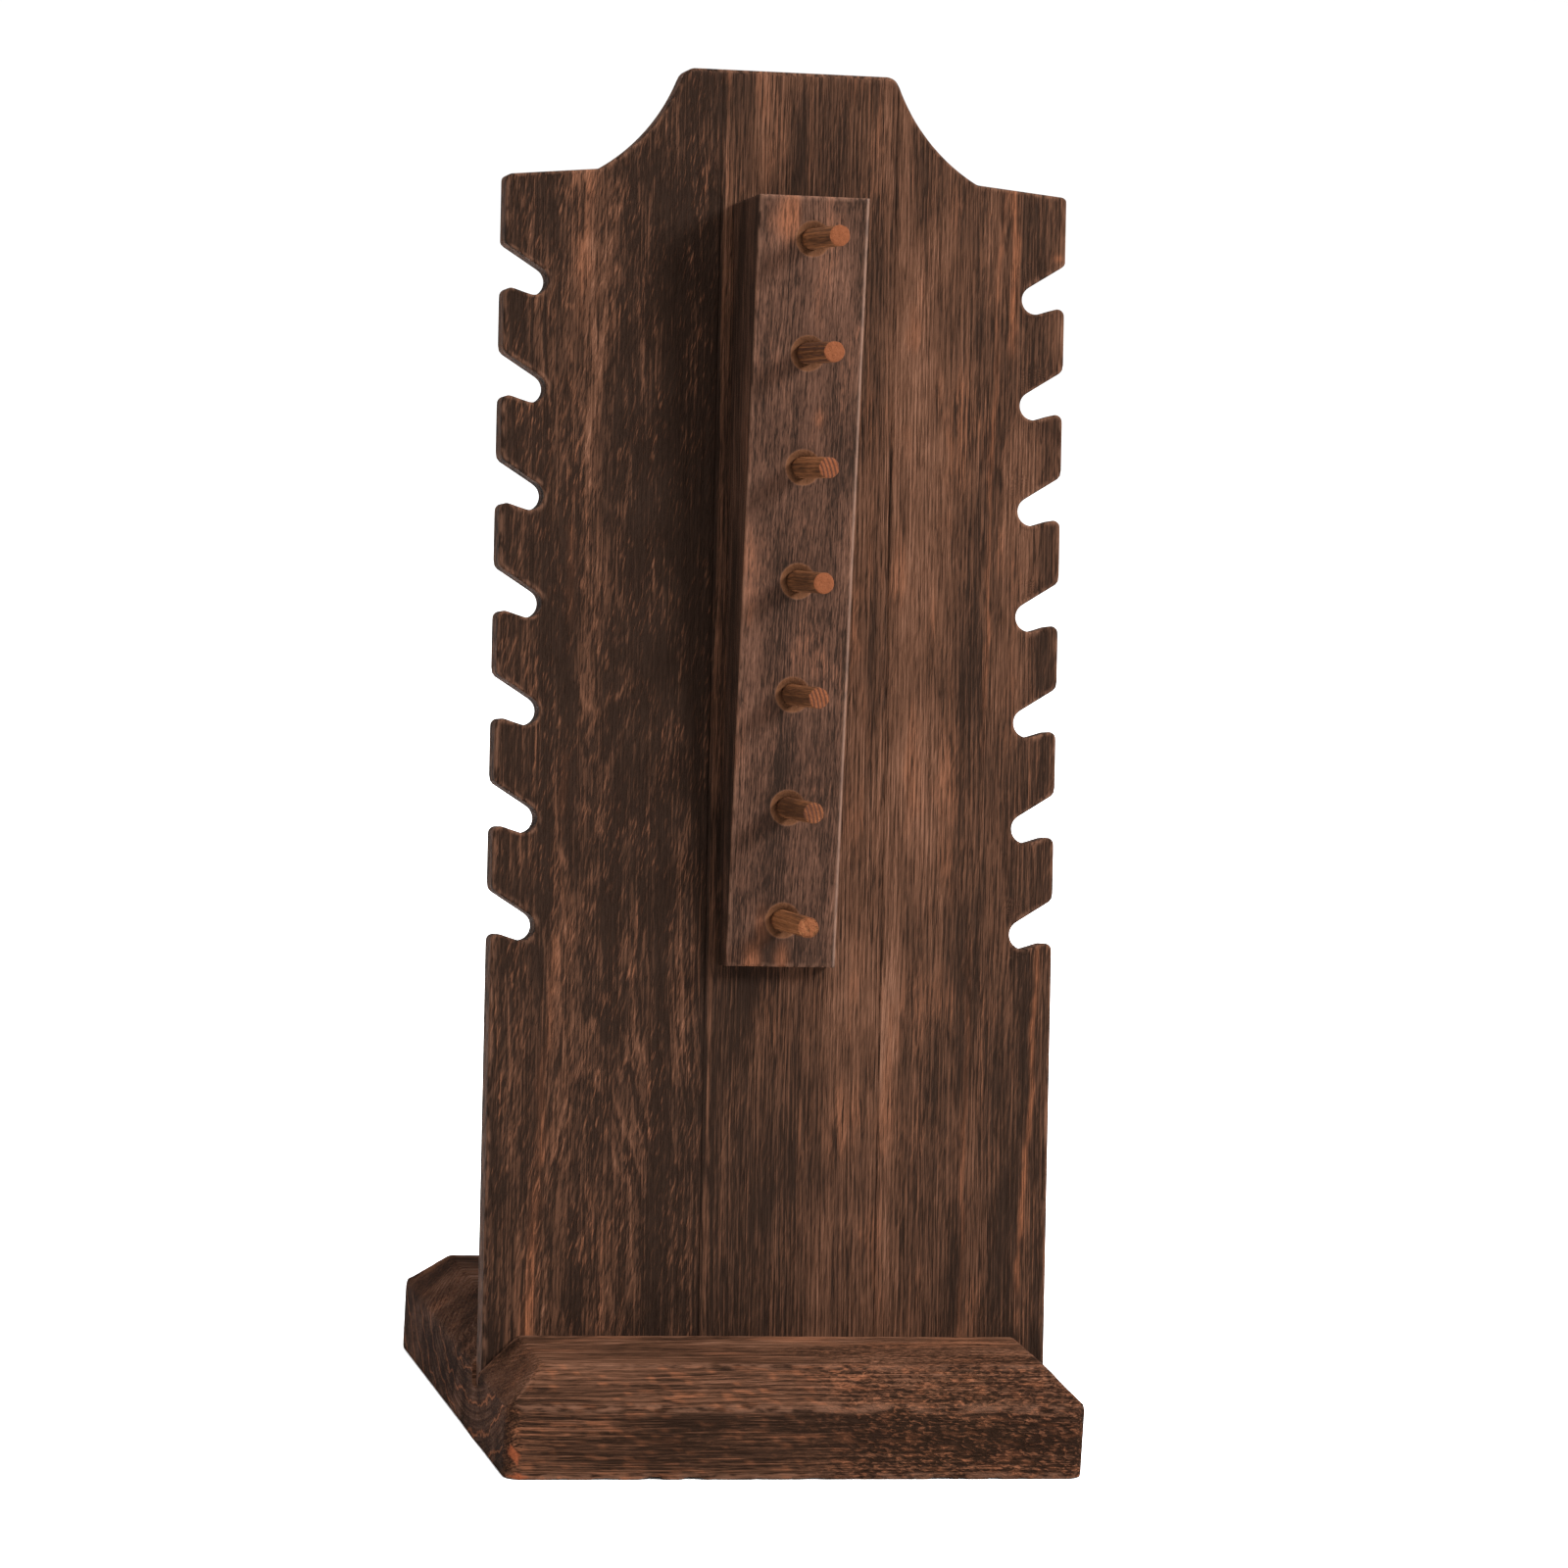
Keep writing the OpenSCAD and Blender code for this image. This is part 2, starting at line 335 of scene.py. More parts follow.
def outward(section):
    """Each point's normal: the line from the point before it to the point
    after it, turned by a quarter."""
    step = np.diff(np.concatenate([section[:, -1:], section, section[:, :1]], 1), axis=1)
    step = step[:, 1:] + step[:, :-1]
    normal = np.stack([-step[..., 1], step[..., 0]], -1)
    return normal / np.linalg.norm(normal, axis=-1, keepdims=True)


outwards = outward(section)
station = np.broadcast_to(stations[:, None], section.shape[:2])
sy, sz = section[..., 0], section[..., 1]
base_rings = ring_count(sy, sz, station, HEART, BASE_RING, 5, 11)
in_slot = ease(-np.abs(sy - slot_wall(BOARD_T / 2, sz)), -6.6, -5.2)
print("the base is cut through", round(float(np.ptp(base_rings))), "rings")

# %% Brushing, curly figure and rubbed ends
CURL_DEPTH, END_RUB, CHIP_DEPTH = 0.32, 0.5, 0.8
INSET_MIDDLE, INSET_REACH = 8, 12
curl = ease(station + 9 * chance(sz / 9, sy / 9, 12), -6, 26) * ease(-sy, 30, 62)
tufts = chance(station / 2.6, (sz - sy) / 1.25 + station / 7, 13)
sink = brushed(base_rings, sy + sz, station, 14, 0.24) + curl * CURL_DEPTH * (0.5 + 0.5 * tufts)
off_end = ease(-np.abs(station), -BASE_W, -BASE_W + 2.5)
sink = sink * ease(sz, 0.0, 1.5) * (1 - in_slot) * off_end

past_round = np.clip(END_ROUND - (BASE_W - np.abs(stations)), 0, END_ROUND)
end_inset = END_ROUND - np.sqrt(END_ROUND**2 - past_round**2)
end_inset[[0, -1]] += END_RUB
inset = (end_inset[:, None] * (1 - 0.9 * in_slot))[..., None]
towards_middle = np.stack([sy / BASE_D, (sz - INSET_MIDDLE) / INSET_REACH], -1)
section = section - outwards * sink[..., None] - inset * towards_middle

chips = ease(chance(station / 5, 7.5, 17) + 0.5 * chance(station / 1.6, 9.5, 17), 0.0, 1.0)
front_foot = ease(-section[..., 0], 76, 79.5) * ease(-sz, -2.2, -0.4)
section[..., 1] += CHIP_DEPTH * chips * front_foot
section[..., 1] = np.maximum(section[..., 1], 0)
print("the brushing goes up to", round(float(sink.max()), 2), "mm deep")

# %% [markdown]
# The finish needs to know what only the shape knows, so masks are kept on the
# mesh: the curly part, the rubbed corners, the front (charred, and darkened
# further as painted shade) with a painted lighter top, red flecks on the front
# face, and two bare chips at the front left corner. A mask is held at the
# mesh's points and blended between them. Each end is closed by one face, which
# has points only on its rim, so the finish leaves the masks off the ends.

# %% The base piece
front_face = ease(-outwards[..., 0], 0.3, 0.6) * ease(-sy, 60, 66)
# Painted light in the base's char mask: faces turned to the front get darker, partly real char and
# partly painted shade, and faces turned up near the front lose char, a painted lighter top.
base_char_and_shade = 0.5 * (ease(-outwards[..., 0], 0.75, 0.95) * ease(-sy, 60, 78))
base_char_and_shade = base_char_and_shade - 0.28 * ease(outwards[..., 1], 0.9, 0.99) * ease(-sy, 20, 40)
turning = np.abs(np.roll(outwards, 2, 1) - np.roll(outwards, -2, 1)).sum(-1)
base_warm = 0.5 * ease(chance(station / 3.4, sz / 0.8 + station / 9, 16), 0.3, 0.8) * front_face
red_foot = ease(chance(station / 2.2, 3.5, 15), 0.3, 0.7) * ease(-sz, -1.5, -0.5)
base_warm += 0.8 * red_foot * front_face
chip_across = station + 78.7 + 0.35 * (sz - 7)
chip = ease(-np.abs(chip_across) / 1.6 - np.abs(sz - 7) / 2.9, -1.1, -0.7)
chip += ease(-np.abs(station + 77.4) / 3.4 - np.abs(sz - 0.9) / 1.1, -1.1, -0.6)

points = np.concatenate([station[..., None], section], -1)
numbers = np.arange(station.size).reshape(station.shape)
loop = np.concatenate([numbers, numbers[:, :1]], 1)[:, ::-1]
faces = sheet_faces(loop).tolist() + [numbers[0].tolist(), numbers[-1, ::-1].tolist()]
flat = points.reshape(-1, 3)
base = make_piece(
    "charred_base", flat, faces, flat[:, [1, 2, 0]], base_rings.ravel(),
    {
        "curl": curl.ravel(), "edge": 1 - ease(-turning, -0.9, -0.25).ravel(),
        "char": base_char_and_shade.ravel(), "warm": np.clip(base_warm, 0, 1).ravel(),
        "chip": (chip * (sy < -60)).ravel(),
    },
)
settle(base, "base", "base_wood", "base_block")

# %% [markdown]
# ## The board's outline
#
# Each long edge is cut by seven hooks. A chain drops in at the mouth, slides
# down the sloping side and hangs in the round end. Below each mouth the wood
# keeps a rounded tip. To turn that into a grid, think of spokes: a straight
# line stands 17 mm inside the edge, and a spoke runs from it to each point of
# the edge. Spokes that fan out round a hook never cross, so the grid stays
# whole, and its last column is the sawn edge itself.

# %% Spokes along a notched edge
SPOKE = 17
SPINE = HALF_W - SPOKE
NOTCHES, NOTCH_PITCH, NOTCH_R, NOTCH_REACH = 7, 29.6, 4.0, 8.4
UPPER_FALL, LOWER_FALL, TIP_R = math.radians(32), math.radians(18), 2.0
NECK_RISE, SHOULDER_FALL, NOTCH_DROP = 29, 2.5, 29
SHOULDER_IN = NECK_TOP - NECK_RISE
SHOULDER_OUT = SHOULDER_IN - SHOULDER_FALL
NOTCH_TOP = SHOULDER_OUT - NOTCH_DROP
MOUTH_LOW = (NOTCH_REACH * math.sin(LOWER_FALL) - NOTCH_R) / math.cos(LOWER_FALL)
MOUTH_HIGH = (NOTCH_REACH * math.sin(UPPER_FALL) + NOTCH_R) / math.cos(UPPER_FALL)
TIP_DROP = TIP_R / math.tan((math.pi / 2 - LOWER_FALL) / 2)
SPOKES_BELOW, SPOKES_ABOVE, ROW_SPACING = 9, 11.2, 2.1


def arc(middle, radius, start, end, steps):
    """Points about a middle, from one angle to another, without the last."""
    angle = start + (end - start) * np.arange(steps) / steps
    return np.stack([middle[0] + radius * np.cos(angle), middle[1] + radius * np.sin(angle)], -1)


def straight(start, end, steps):
    """Even points from start towards end, without the last."""
    return np.asarray(start) + np.outer(np.arange(steps) / steps, np.subtract(end, start))


def one_notch(w):
    """(edge u, edge w, spine w) from the tip below a mouth to its upper corner."""
    tip_mid = (HALF_W - TIP_R, w + MOUTH_LOW - TIP_DROP)
    end_mid = (HALF_W - NOTCH_REACH, w)
    lower, upper = math.pi / 2 + LOWER_FALL, UPPER_FALL - 1.5 * math.pi
    tip = arc(tip_mid, TIP_R, 0, lower, 8)
    hollow = arc(end_mid, NOTCH_R, LOWER_FALL - math.pi / 2, upper, 17)
    tip_end = arc(tip_mid, TIP_R, lower, lower, 1)[0]
    hollow_end = arc(end_mid, NOTCH_R, upper, upper, 1)[0]
    corner = (HALF_W, w + MOUTH_HIGH)
    edge = np.concatenate(
        [tip, straight(tip_end, hollow[0], 5), hollow, straight(hollow_end, corner, 10)]
    )
    spine = np.interp(
        np.arange(len(edge)), [0, 8, 13, 30, 40], [-SPOKES_BELOW, -7.6, -6.2, 5, SPOKES_ABOVE]
    )
    return np.column_stack([edge, w + spine])


def edge_rows():
    """Every row of the notched edge from the foot to just above the top notch."""
    heights = NOTCH_TOP - NOTCH_PITCH * np.arange(NOTCHES)[::-1]
    rows = []
    below, below_spine = FOOT, FOOT
    for w in heights:
        tip = w + MOUTH_LOW - TIP_DROP
        count = max(8, int((tip - below) / ROW_SPACING))
        gap = straight((below, below_spine), (tip, w - SPOKES_BELOW), count)
        rows += [np.column_stack([np.full(len(gap), HALF_W), gap]), one_notch(w)]
        below, below_spine = w + MOUTH_HIGH, w + SPOKES_ABOVE
    last = (HALF_W, below + 3, below + 3)
    rows += [straight((HALF_W, below, below_spine), last, 4), [last]]
    rows = np.concatenate(rows)
    rows[1:-1] = (rows[:-2] + 2 * rows[1:-1] + rows[2:]) / 4
    return rows


edge = edge_rows()
print("each notched edge has", len(edge), "rows")

# %% [markdown]
# Above the top notch the outline turns over the shoulder, sweeps up a hollow
# curve and rounds over into the neck. That part is one height for each place
# across the board, so the rows simply share out the height that is left.

# %% Neck and shoulders
COVE_R, COVE_REACH, NECK_HALF, NECK_ROUND, SHOULDER_ROUND = 52, 54, 30, 4, 1.6
chord = np.array([COVE_REACH - NECK_HALF, NECK_TOP - SHOULDER_IN])
span = np.hypot(*chord)
out = math.sqrt(COVE_R**2 - span**2 / 4) / span
cove_mid = np.array([NECK_HALF, NECK_TOP]) + chord * [0.5, -0.5] + out * chord[::-1]
round_w = NECK_TOP - NECK_ROUND
round_u = cove_mid[0] - math.sqrt((COVE_R + NECK_ROUND) ** 2 - (cove_mid[1] - round_w) ** 2)
touch = cove_mid + (np.array([round_u, round_w]) - cove_mid) * COVE_R / (COVE_R + NECK_ROUND)


def top_height(u):
    """Height of the board's top edge: flat neck, round corner, hollow cove,
    then the shoulder's gentle fall to its rubbed outer corner."""
    u = np.abs(u)
    corner = round_w + np.sqrt(np.clip(NECK_ROUND**2 - (u - round_u) ** 2, 0, None))
    cove = cove_mid[1] - np.sqrt(np.clip(COVE_R**2 - (u - cove_mid[0]) ** 2, 0, None))
    fall = (u - COVE_REACH) / (HALF_W - COVE_REACH)
    shoulder = SHOULDER_IN + (SHOULDER_OUT - SHOULDER_IN) * fall
    rub = np.clip(u - (HALF_W - SHOULDER_ROUND), 0, SHOULDER_ROUND)
    shoulder -= SHOULDER_ROUND - np.sqrt(SHOULDER_ROUND**2 - rub**2)
    limits = [u < round_u, u < touch[0], u < COVE_REACH]
    return np.select(limits, [NECK_TOP, corner, cove], shoulder)


def outline_distance(u, w):
    """Distance from each point to the board's outline: the nearest of its
    many short straight pieces."""
    outer_u = np.linspace(HALF_W, NECK_HALF + 1, 70)
    corner_u = np.linspace(NECK_HALF + 0.9, NECK_HALF - 5, 60)
    top_u = np.concatenate([outer_u, corner_u, [0]])
    path = np.concatenate([edge[:, :2], np.column_stack([top_u, top_height(top_u)])])
    path = np.concatenate([[[0, FOOT]], path])
    start, step = path[:-1], np.diff(path, axis=0)
    length = np.maximum((step**2).sum(1), 1e-9)
    result = np.empty(len(u))
    for part in np.array_split(np.arange(len(u)), max(1, len(u) // 4000)):
        du, dw = np.abs(u[part])[:, None] - start[:, 0], w[part][:, None] - start[:, 1]
        f = np.clip((du * step[:, 0] + dw * step[:, 1]) / length, 0, 1)
        result[part] = np.hypot(du - f * step[:, 0], dw - f * step[:, 1]).min(1)
    return result


print("shoulder and neck heights:", [round(float(top_height(u)), 1) for u in (70, 0)], "mm")

# %% [markdown]
# ## The three staves
#
# The board was glued up from three staves of different cut. The left one has
# its heart behind it, so it shows broken, mottled figure. The other two were
# cut to the side of the heart, and show close straight lines. Each stave is a
# block skin: its front and back sheets are the grid above, brushed inwards, and
# its thin sides are the sawn edge.

# %% Grid of a stave
ARRIS = 0.7
LOWER_ROWS, TOP_ROWS = 230, 34
EDGE_COLUMNS, LEFT_COLUMNS, MIDDLE_COLUMNS, RIGHT_COLUMNS = 24, 76, 96, 54


def stave_grid(columns, reach=None):
    """(u, w) of every grid point. columns are places across the board, and
    reach says how far along its spoke each column lies, 0 on the spine."""
    last_w = edge[-1, 1]
    if reach is None:
        lower_w = np.linspace(FOOT, last_w, LOWER_ROWS)
        u = np.broadcast_to(columns[:, None], (len(columns), len(lower_w)))
        w = np.broadcast_to(lower_w, u.shape)
    else:
        side = np.sign(columns[:, None])
        u = columns[:, None] + side * (edge[:, 0] - HALF_W) * reach[:, None]
        w = edge[:, 2] + (edge[:, 1] - edge[:, 2]) * reach[:, None]
    rise = (np.arange(1, TOP_ROWS + 1) / TOP_ROWS) ** 0.85
    top_u = np.broadcast_to(columns[:, None], (len(columns), TOP_ROWS))
    top_w = last_w + (top_height(columns)[:, None] - last_w) * rise
    return np.concatenate([u, top_u], 1), np.concatenate([w, top_w], 1)


reach = 1 - (1 - np.arange(1, EDGE_COLUMNS + 1) / EDGE_COLUMNS) ** 1.4
spoke_u = SPINE + SPOKE * reach
left_columns = np.concatenate([-spoke_u[::-1], np.linspace(-SPINE, SEAM_LEFT, LEFT_COLUMNS)])
left_reach = np.concatenate([reach[::-1], np.zeros(LEFT_COLUMNS)])
right_columns = np.concatenate([np.linspace(SEAM_RIGHT, SPINE, RIGHT_COLUMNS), spoke_u])
right_reach = np.concatenate([np.zeros(RIGHT_COLUMNS), reach])
middle_columns = np.linspace(SEAM_LEFT, SEAM_RIGHT, MIDDLE_COLUMNS)
print("columns across the board:", len(left_columns), len(middle_columns), len(right_columns))

# %% [markdown]
# Burning wasn't even. A long orange streak wanders down the left stave, a dotted
# one stands near the right edge, and fainter ones lie between. Char is thickest
# about the left seam.

# %% Warm streaks and char
def streak(u, w, line_u, line_w, width, seed, dots=0.4):
    """1 on a wandering line down the board and 0 a few widths off it, broken
    up along its length. More dots make it a row of flecks."""
    middle = np.interp(w, line_w, line_u) + 1.3 * chance(w / 14, 0.5, seed)
    middle = middle + 0.5 * chance(w / 3, 0.5, seed + 1)
    broken = chance(w / 26, 2.5, seed + 2) + dots * chance(w / 3, 8.5, seed + 3)
    return hump(u, middle, width) * ease(broken, -0.5, 0.5)


def warm_wood(u, w):
    """The sum of every streak and chip, each faded where it starts and stops."""
    long_u, long_w = [-68.2, -65.2, -61.6, -59.7, -56.7], [34, 88, 154, 232, 350]
    warm = (0.25 + 0.45 * ease(-w, -110, -70)) * streak(u, w, long_u, long_w, 1.2, 21)
    warm += 0.45 * hump(u, -67, 1.0) * ease(-w, -72, -52)
    dotted = streak(u, w, [70.9, 74.2, 75.4], [34, 96, 134], 0.55, 25, 0.9)
    warm += 1.7 * dotted * ease(-w, -150, -128)
    warm += 0.7 * hump(u, 77.8, 1.2) * hump(w, 331.8, 0.9)
    warm += 0.8 * streak(u, w, [65.2, 65.2], [300, 350], 0.9, 29) * ease(w, 296, 312)
    warm += 0.4 * streak(u, w, [55.5, 59.1, 61.2], [120, 219, 350], 0.6, 33)
    warm += 0.5 * streak(u, w, [-17.5, -17.5], [15, 380], 0.7, 37) * ease(w, 300, 350)
    return np.clip(warm, 0, 1)


def charred(u, w):
    """Clouds of char on each stave, dark seams, and one pale line by a seam."""
    char = 0.8 * ease(-u, 8, 30) * ease(u, -48, -22) + 0.35 * ease(-u, 66, 76)
    char = char * (0.75 + 0.35 * chance(u / 11, w / 45, 41))
    char -= 0.5 * hump(u, 34, 16) * ease(-w, -350, -330)
    char += (u < SEAM_LEFT) * (0.16 + 0.34 * ease(w, 120, 180) * ease(-w, -310, -250))
    char += (u > SEAM_LEFT) * 0.24 * ease(-w, -200, -120)
    char += 0.9 * hump(u, SEAM_LEFT, 0.5) + 0.45 * hump(u, SEAM_RIGHT, 0.5)
    return char - 0.7 * hump(u, SEAM_LEFT + 1.6, 0.7)


print("char beside the left seam:", round(float(charred(SEAM_LEFT - 5.0, 200.0)), 2))

# %% [markdown]
# The front and back sheets sink by the brushing and roll over by a quarter
# circle at the arris, with the sawn edge between them. The glued seams are a
# fine groove. On the back of the middle stave, three round hollows make room
# for the screws' heads.

# %% Make a stave
PEGS, PEG_PITCH, PEG_FIRST = 7, 31.1, 11.6
RAIL_DROP = 37
SCREW_HOLES = NECK_TOP - RAIL_DROP - PEG_FIRST - PEG_PITCH * (2 * np.arange(3) + 0.5)
HEAD_R, HEAD_DEPTH, SEAM_GROOVE, THROUGH = 3.15, 2.2, 0.16, 6


def onto_circle(u, w, middle_w, radius, grip, sheet):
    """Moves the sheet's points that lie within grip of a circle straight out
    or in, onto it."""
    rho = np.hypot(u, w - middle_w)
    pull = np.where(sheet & (np.abs(rho - radius) < grip), radius / np.maximum(rho, 0.1), 1)
    return u * pull, middle_w + (w - middle_w) * pull


def rolled(distance, radius):
    """How far a quarter circle's arris falls back at a distance from the edge."""
    return radius - np.sqrt(radius**2 - np.clip(radius - distance, 0, radius) ** 2)


def make_stave(name, u, w, heart, spacing, seed, flecks, node):
    """Depth into the board: the roll and the brushing on the front, the
    board's thickness less the same on the back, and even steps between."""
    (i, j, k), faces = block_skin(u.shape[0] - 1, THROUGH, u.shape[1] - 1)
    pu, pw = u[i, k].copy(), w[i, k].copy()
    d = outline_distance(pu, pw)
    front, back = j == 0, j == THROUGH
    holes = np.zeros(len(pu))
    if node == "middle_stave":
        for hole in SCREW_HOLES:
            pu, pw = onto_circle(pu, pw, hole, HEAD_R, 0.36, back)
            holes += back * HEAD_DEPTH * (np.hypot(pu, pw - hole) < HEAD_R - 0.01)
    rings = ring_count(pu, BOARD_T * j / THROUGH, pw, heart, spacing, 3, seed)
    sink = brushed(rings, pu, pw, seed, 0.2) * ease(d, 0.1, 1.6)
    to_seam = np.minimum(np.abs(pu - SEAM_LEFT), np.abs(pu - SEAM_RIGHT))
    sink += SEAM_GROOVE * (to_seam < 0.05)
    roll = rolled(d, ARRIS)
    t = ARRIS + (BOARD_T - 2 * ARRIS) * j / THROUGH
    t = np.where(front, roll + sink, np.where(back, BOARD_T - roll - sink - holes, t))
    masks = {
        "warm": warm_wood(pu, pw), "char": charred(pu, pw),
        "edge": 1 - ease(d, 0.3, 1.5 + 0.7 * chance(pu / 9, pw / 9, 5)),
        "flecks": flecks * np.where(front | back, 1, 0.15),
    }
    wood = np.stack([pu, t, pw], -1)
    piece = make_piece(name, lean_back(pu, t, pw), faces.tolist(), wood, rings, masks)
    settle(piece, "upright", "board_wood", node)
    return piece


# %% The three staves
left_stave = make_stave(
    "stave_left", *stave_grid(left_columns, left_reach), (-50, 44), 1.5, 51, 0.9, "left_stave"
)
middle_stave = make_stave(
    "stave_middle", *stave_grid(middle_columns), (-330, 30), 1.35, 61, 0.3, "middle_stave"
)
right_stave = make_stave(
    "stave_right", *stave_grid(right_columns, right_reach), (-280, 60), 1.25, 71, 0.3, "right_stave"
)

# %% [markdown]
# ## The peg rail
#
# The rail is a long wedge, 8 mm thick at its foot and 30 mm at its top, so that
# the upper pegs stand further out than the lower ones. It is the same block
# skin as a stave. Each peg stands in a countersink, which is a cone pressed into
# the front sheet. The sheet's points nearest the rim are drawn onto it first, so
# that the rim is a clean circle and not a staircase.

# %% Shape of the rail
RAIL_HALF = rail_box[1][0]
RAIL_FOOT_T, RAIL_HEAD_T = 8, 30
RAIL_FOOT = rail_box[0][2] / math.cos(LEAN)
RAIL_TOP = (rail_box[1][2] - RAIL_HEAD_T * math.sin(LEAN)) / math.cos(LEAN)
TAPER = (RAIL_HEAD_T - RAIL_FOOT_T) / (RAIL_TOP - RAIL_FOOT)
SINK_R, SINK_FLOOR, RAIL_ARRIS = 5, 2.45, 0.5
RAIL_ACROSS, RAIL_THROUGH, RAIL_ALONG = 64, 30, 290
PEG_W = RAIL_TOP - PEG_FIRST - PEG_PITCH * np.arange(PEGS)

(i, j, k), faces = block_skin(RAIL_ACROSS, RAIL_THROUGH, RAIL_ALONG)
front = j == 0
u = RAIL_HALF * (2 * i / RAIL_ACROSS - 1)
w = RAIL_FOOT + (RAIL_TOP - RAIL_FOOT) * k / RAIL_ALONG
side_d = np.minimum(RAIL_HALF - np.abs(u), np.minimum(w - RAIL_FOOT, RAIL_TOP - w))
from_peg = np.full(len(u), 20.0)
cone = np.zeros(len(u))
for peg_w in PEG_W:
    u, w = onto_circle(u, w, peg_w, SINK_R, 0.38, front)
    rho = np.hypot(u, w - peg_w)
    cone += front * np.clip(SINK_R - rho, 0, SINK_FLOOR)
    from_peg = np.where(front, np.minimum(from_peg, rho), from_peg)
thick = RAIL_FOOT_T + (w - RAIL_FOOT) * TAPER
print("the rail is", round(float(RAIL_TOP - RAIL_FOOT), 1), "mm long")

# %% Brushing and masks of the rail
rings = ring_count(u, -19 * (1 - j / RAIL_THROUGH), w, (-90, -70), 1.6, 1.5, 81)
sink = brushed(rings, u, w, 82, 0.16)
sunk = rolled(side_d, RAIL_ARRIS) + sink * ease(side_d, 0, 1.2) * (cone == 0) + cone
flat_depth = RAIL_ARRIS + (thick - RAIL_ARRIS) * j / RAIL_THROUGH
on_side = ~front & (np.abs(u) > RAIL_HALF - 0.01)
u = u - np.sign(u) * on_side * sink * ease(flat_depth, 0.4, 1.6) * 0.8
t = np.where(front, sunk, flat_depth) - thick
warm = 0.9 * ease(chance(u / 6, w / 16, 83), 0.15, 0.8) * (ease(-w, -160, -136) + ease(w, 322, 338))
warm = warm * (u < 4) + 0.55 * hump(w, 283, 2.2) * hump(u, 4, 1.2)
warm += 1.3 * ease(-w, -RAIL_FOOT - 9, -RAIL_FOOT - 1.5) * (hump(u, -8, 2.2) + hump(u, 0, 1.8))
rail = make_piece(
    "peg_rail_wedge", lean_back(u, t, w), faces.tolist(), np.stack([u, t, w], -1), rings,
    {
        "warm": np.clip(warm, 0, 1), "from_peg": from_peg,
        "char": 0.3 * ease(-w, -240, -150) + 0.3 * ~front - 0.05 * ease(w, 290, 325),
        "edge": (1 - ease(side_d, 0.2, 1.3)) * front,
        # Painted highlight: a light line down the right arris, the side the key lamp lights.
        "painted_arris_highlight": hump(u, RAIL_HALF - 0.45, 0.32) * front,
    },
)
settle(rail, "upright", "rail_wood", "peg_rail")

# %% [markdown]
# ## Seven pegs
#
# A peg is a turned dowel: a radius for each place along its axis, spun round.
# The outline runs from the hidden tenon up the shank to the cut end, and each
# end closes with rings that shrink to a point. The pegs were whittled from
# different sticks, so each has its own flats, bumps and slight unevenness.

# %% Outline of a peg
PEG_R, TENON_R, TENON_IN, PEG_OUT, PEG_TILT = 3.0, 2.5, 13, 30, math.radians(3)
AROUND = 44
DROOP = math.atan(TAPER) - PEG_TILT


def peg_profile():
    """(distance along the axis, radius) from the tenon's middle to the cut
    end's middle."""
    tenon = [(-TENON_IN, 0), (-TENON_IN, 1.3), (-TENON_IN, TENON_R), (-6, TENON_R), (-1.5, TENON_R)]
    shank = [(s, PEG_R) for s in np.linspace(-1, PEG_OUT - 0.55, 56)]
    rounded = [(PEG_OUT - 0.3, 2.95), (PEG_OUT - 0.12, 2.8), (PEG_OUT - 0.03, 2.6)]
    cut = [(PEG_OUT, r) for r in (2.3, 1.7, 1.1, 0.5, 0)]
    return np.array(tenon + shank + rounded + cut)


def place_on_rail(along_u, up, out, peg_w):
    """From the peg's own directions to the model's. Its root is on the rail's
    sloping face, and it is tilted up a little from square to that face."""
    out_t, out_w = -math.cos(DROOP), -math.sin(DROOP)
    root = -(RAIL_FOOT_T + (peg_w - RAIL_FOOT) * TAPER)
    return lean_back(
        -along_u, root + out * out_t + up * out_w, peg_w + out * out_w - up * out_t
    )


print("a peg's outline has", len(peg_profile()), "points")

# %% Pegs
FINE_RINGED, STRIPED_ENDS = (2, 3, 5, 6), (3, 5, 6)
CLEAN_END = [1, 1, 1, 1, 0.8, 0.5, 0.65]


def whittled(number):
    """(a, b, s) of the spun profile, after shallow flats and fibres are taken
    off the shank and a rough end is cut."""
    profile = peg_profile()
    turn = np.linspace(0, 2 * np.pi, AROUND, endpoint=False)
    s, radius = profile[:, :1], profile[:, 1:]
    seed = 90 + 7 * number
    fibres = 0.06 * (1 + chance(turn / 0.35 + s / 40, s / 14, seed))
    flats = 0.07 * (1 + chance(3 * np.cos(turn) + 5, 3 * np.sin(turn) + s / 9, seed + 1))
    r = np.clip(radius - (fibres + flats) * (radius > 1.5) * (s > -1), 0, None)
    a, b = r * np.cos(turn), r * np.sin(turn)
    rough = 0.16 * (1 + chance(a * 1.4 + 9, b * 1.1 + 9, seed + 2)) * (1 + (number == PEGS))
    return np.stack([a, b, s - rough * (s > PEG_OUT - 0.2)], -1)


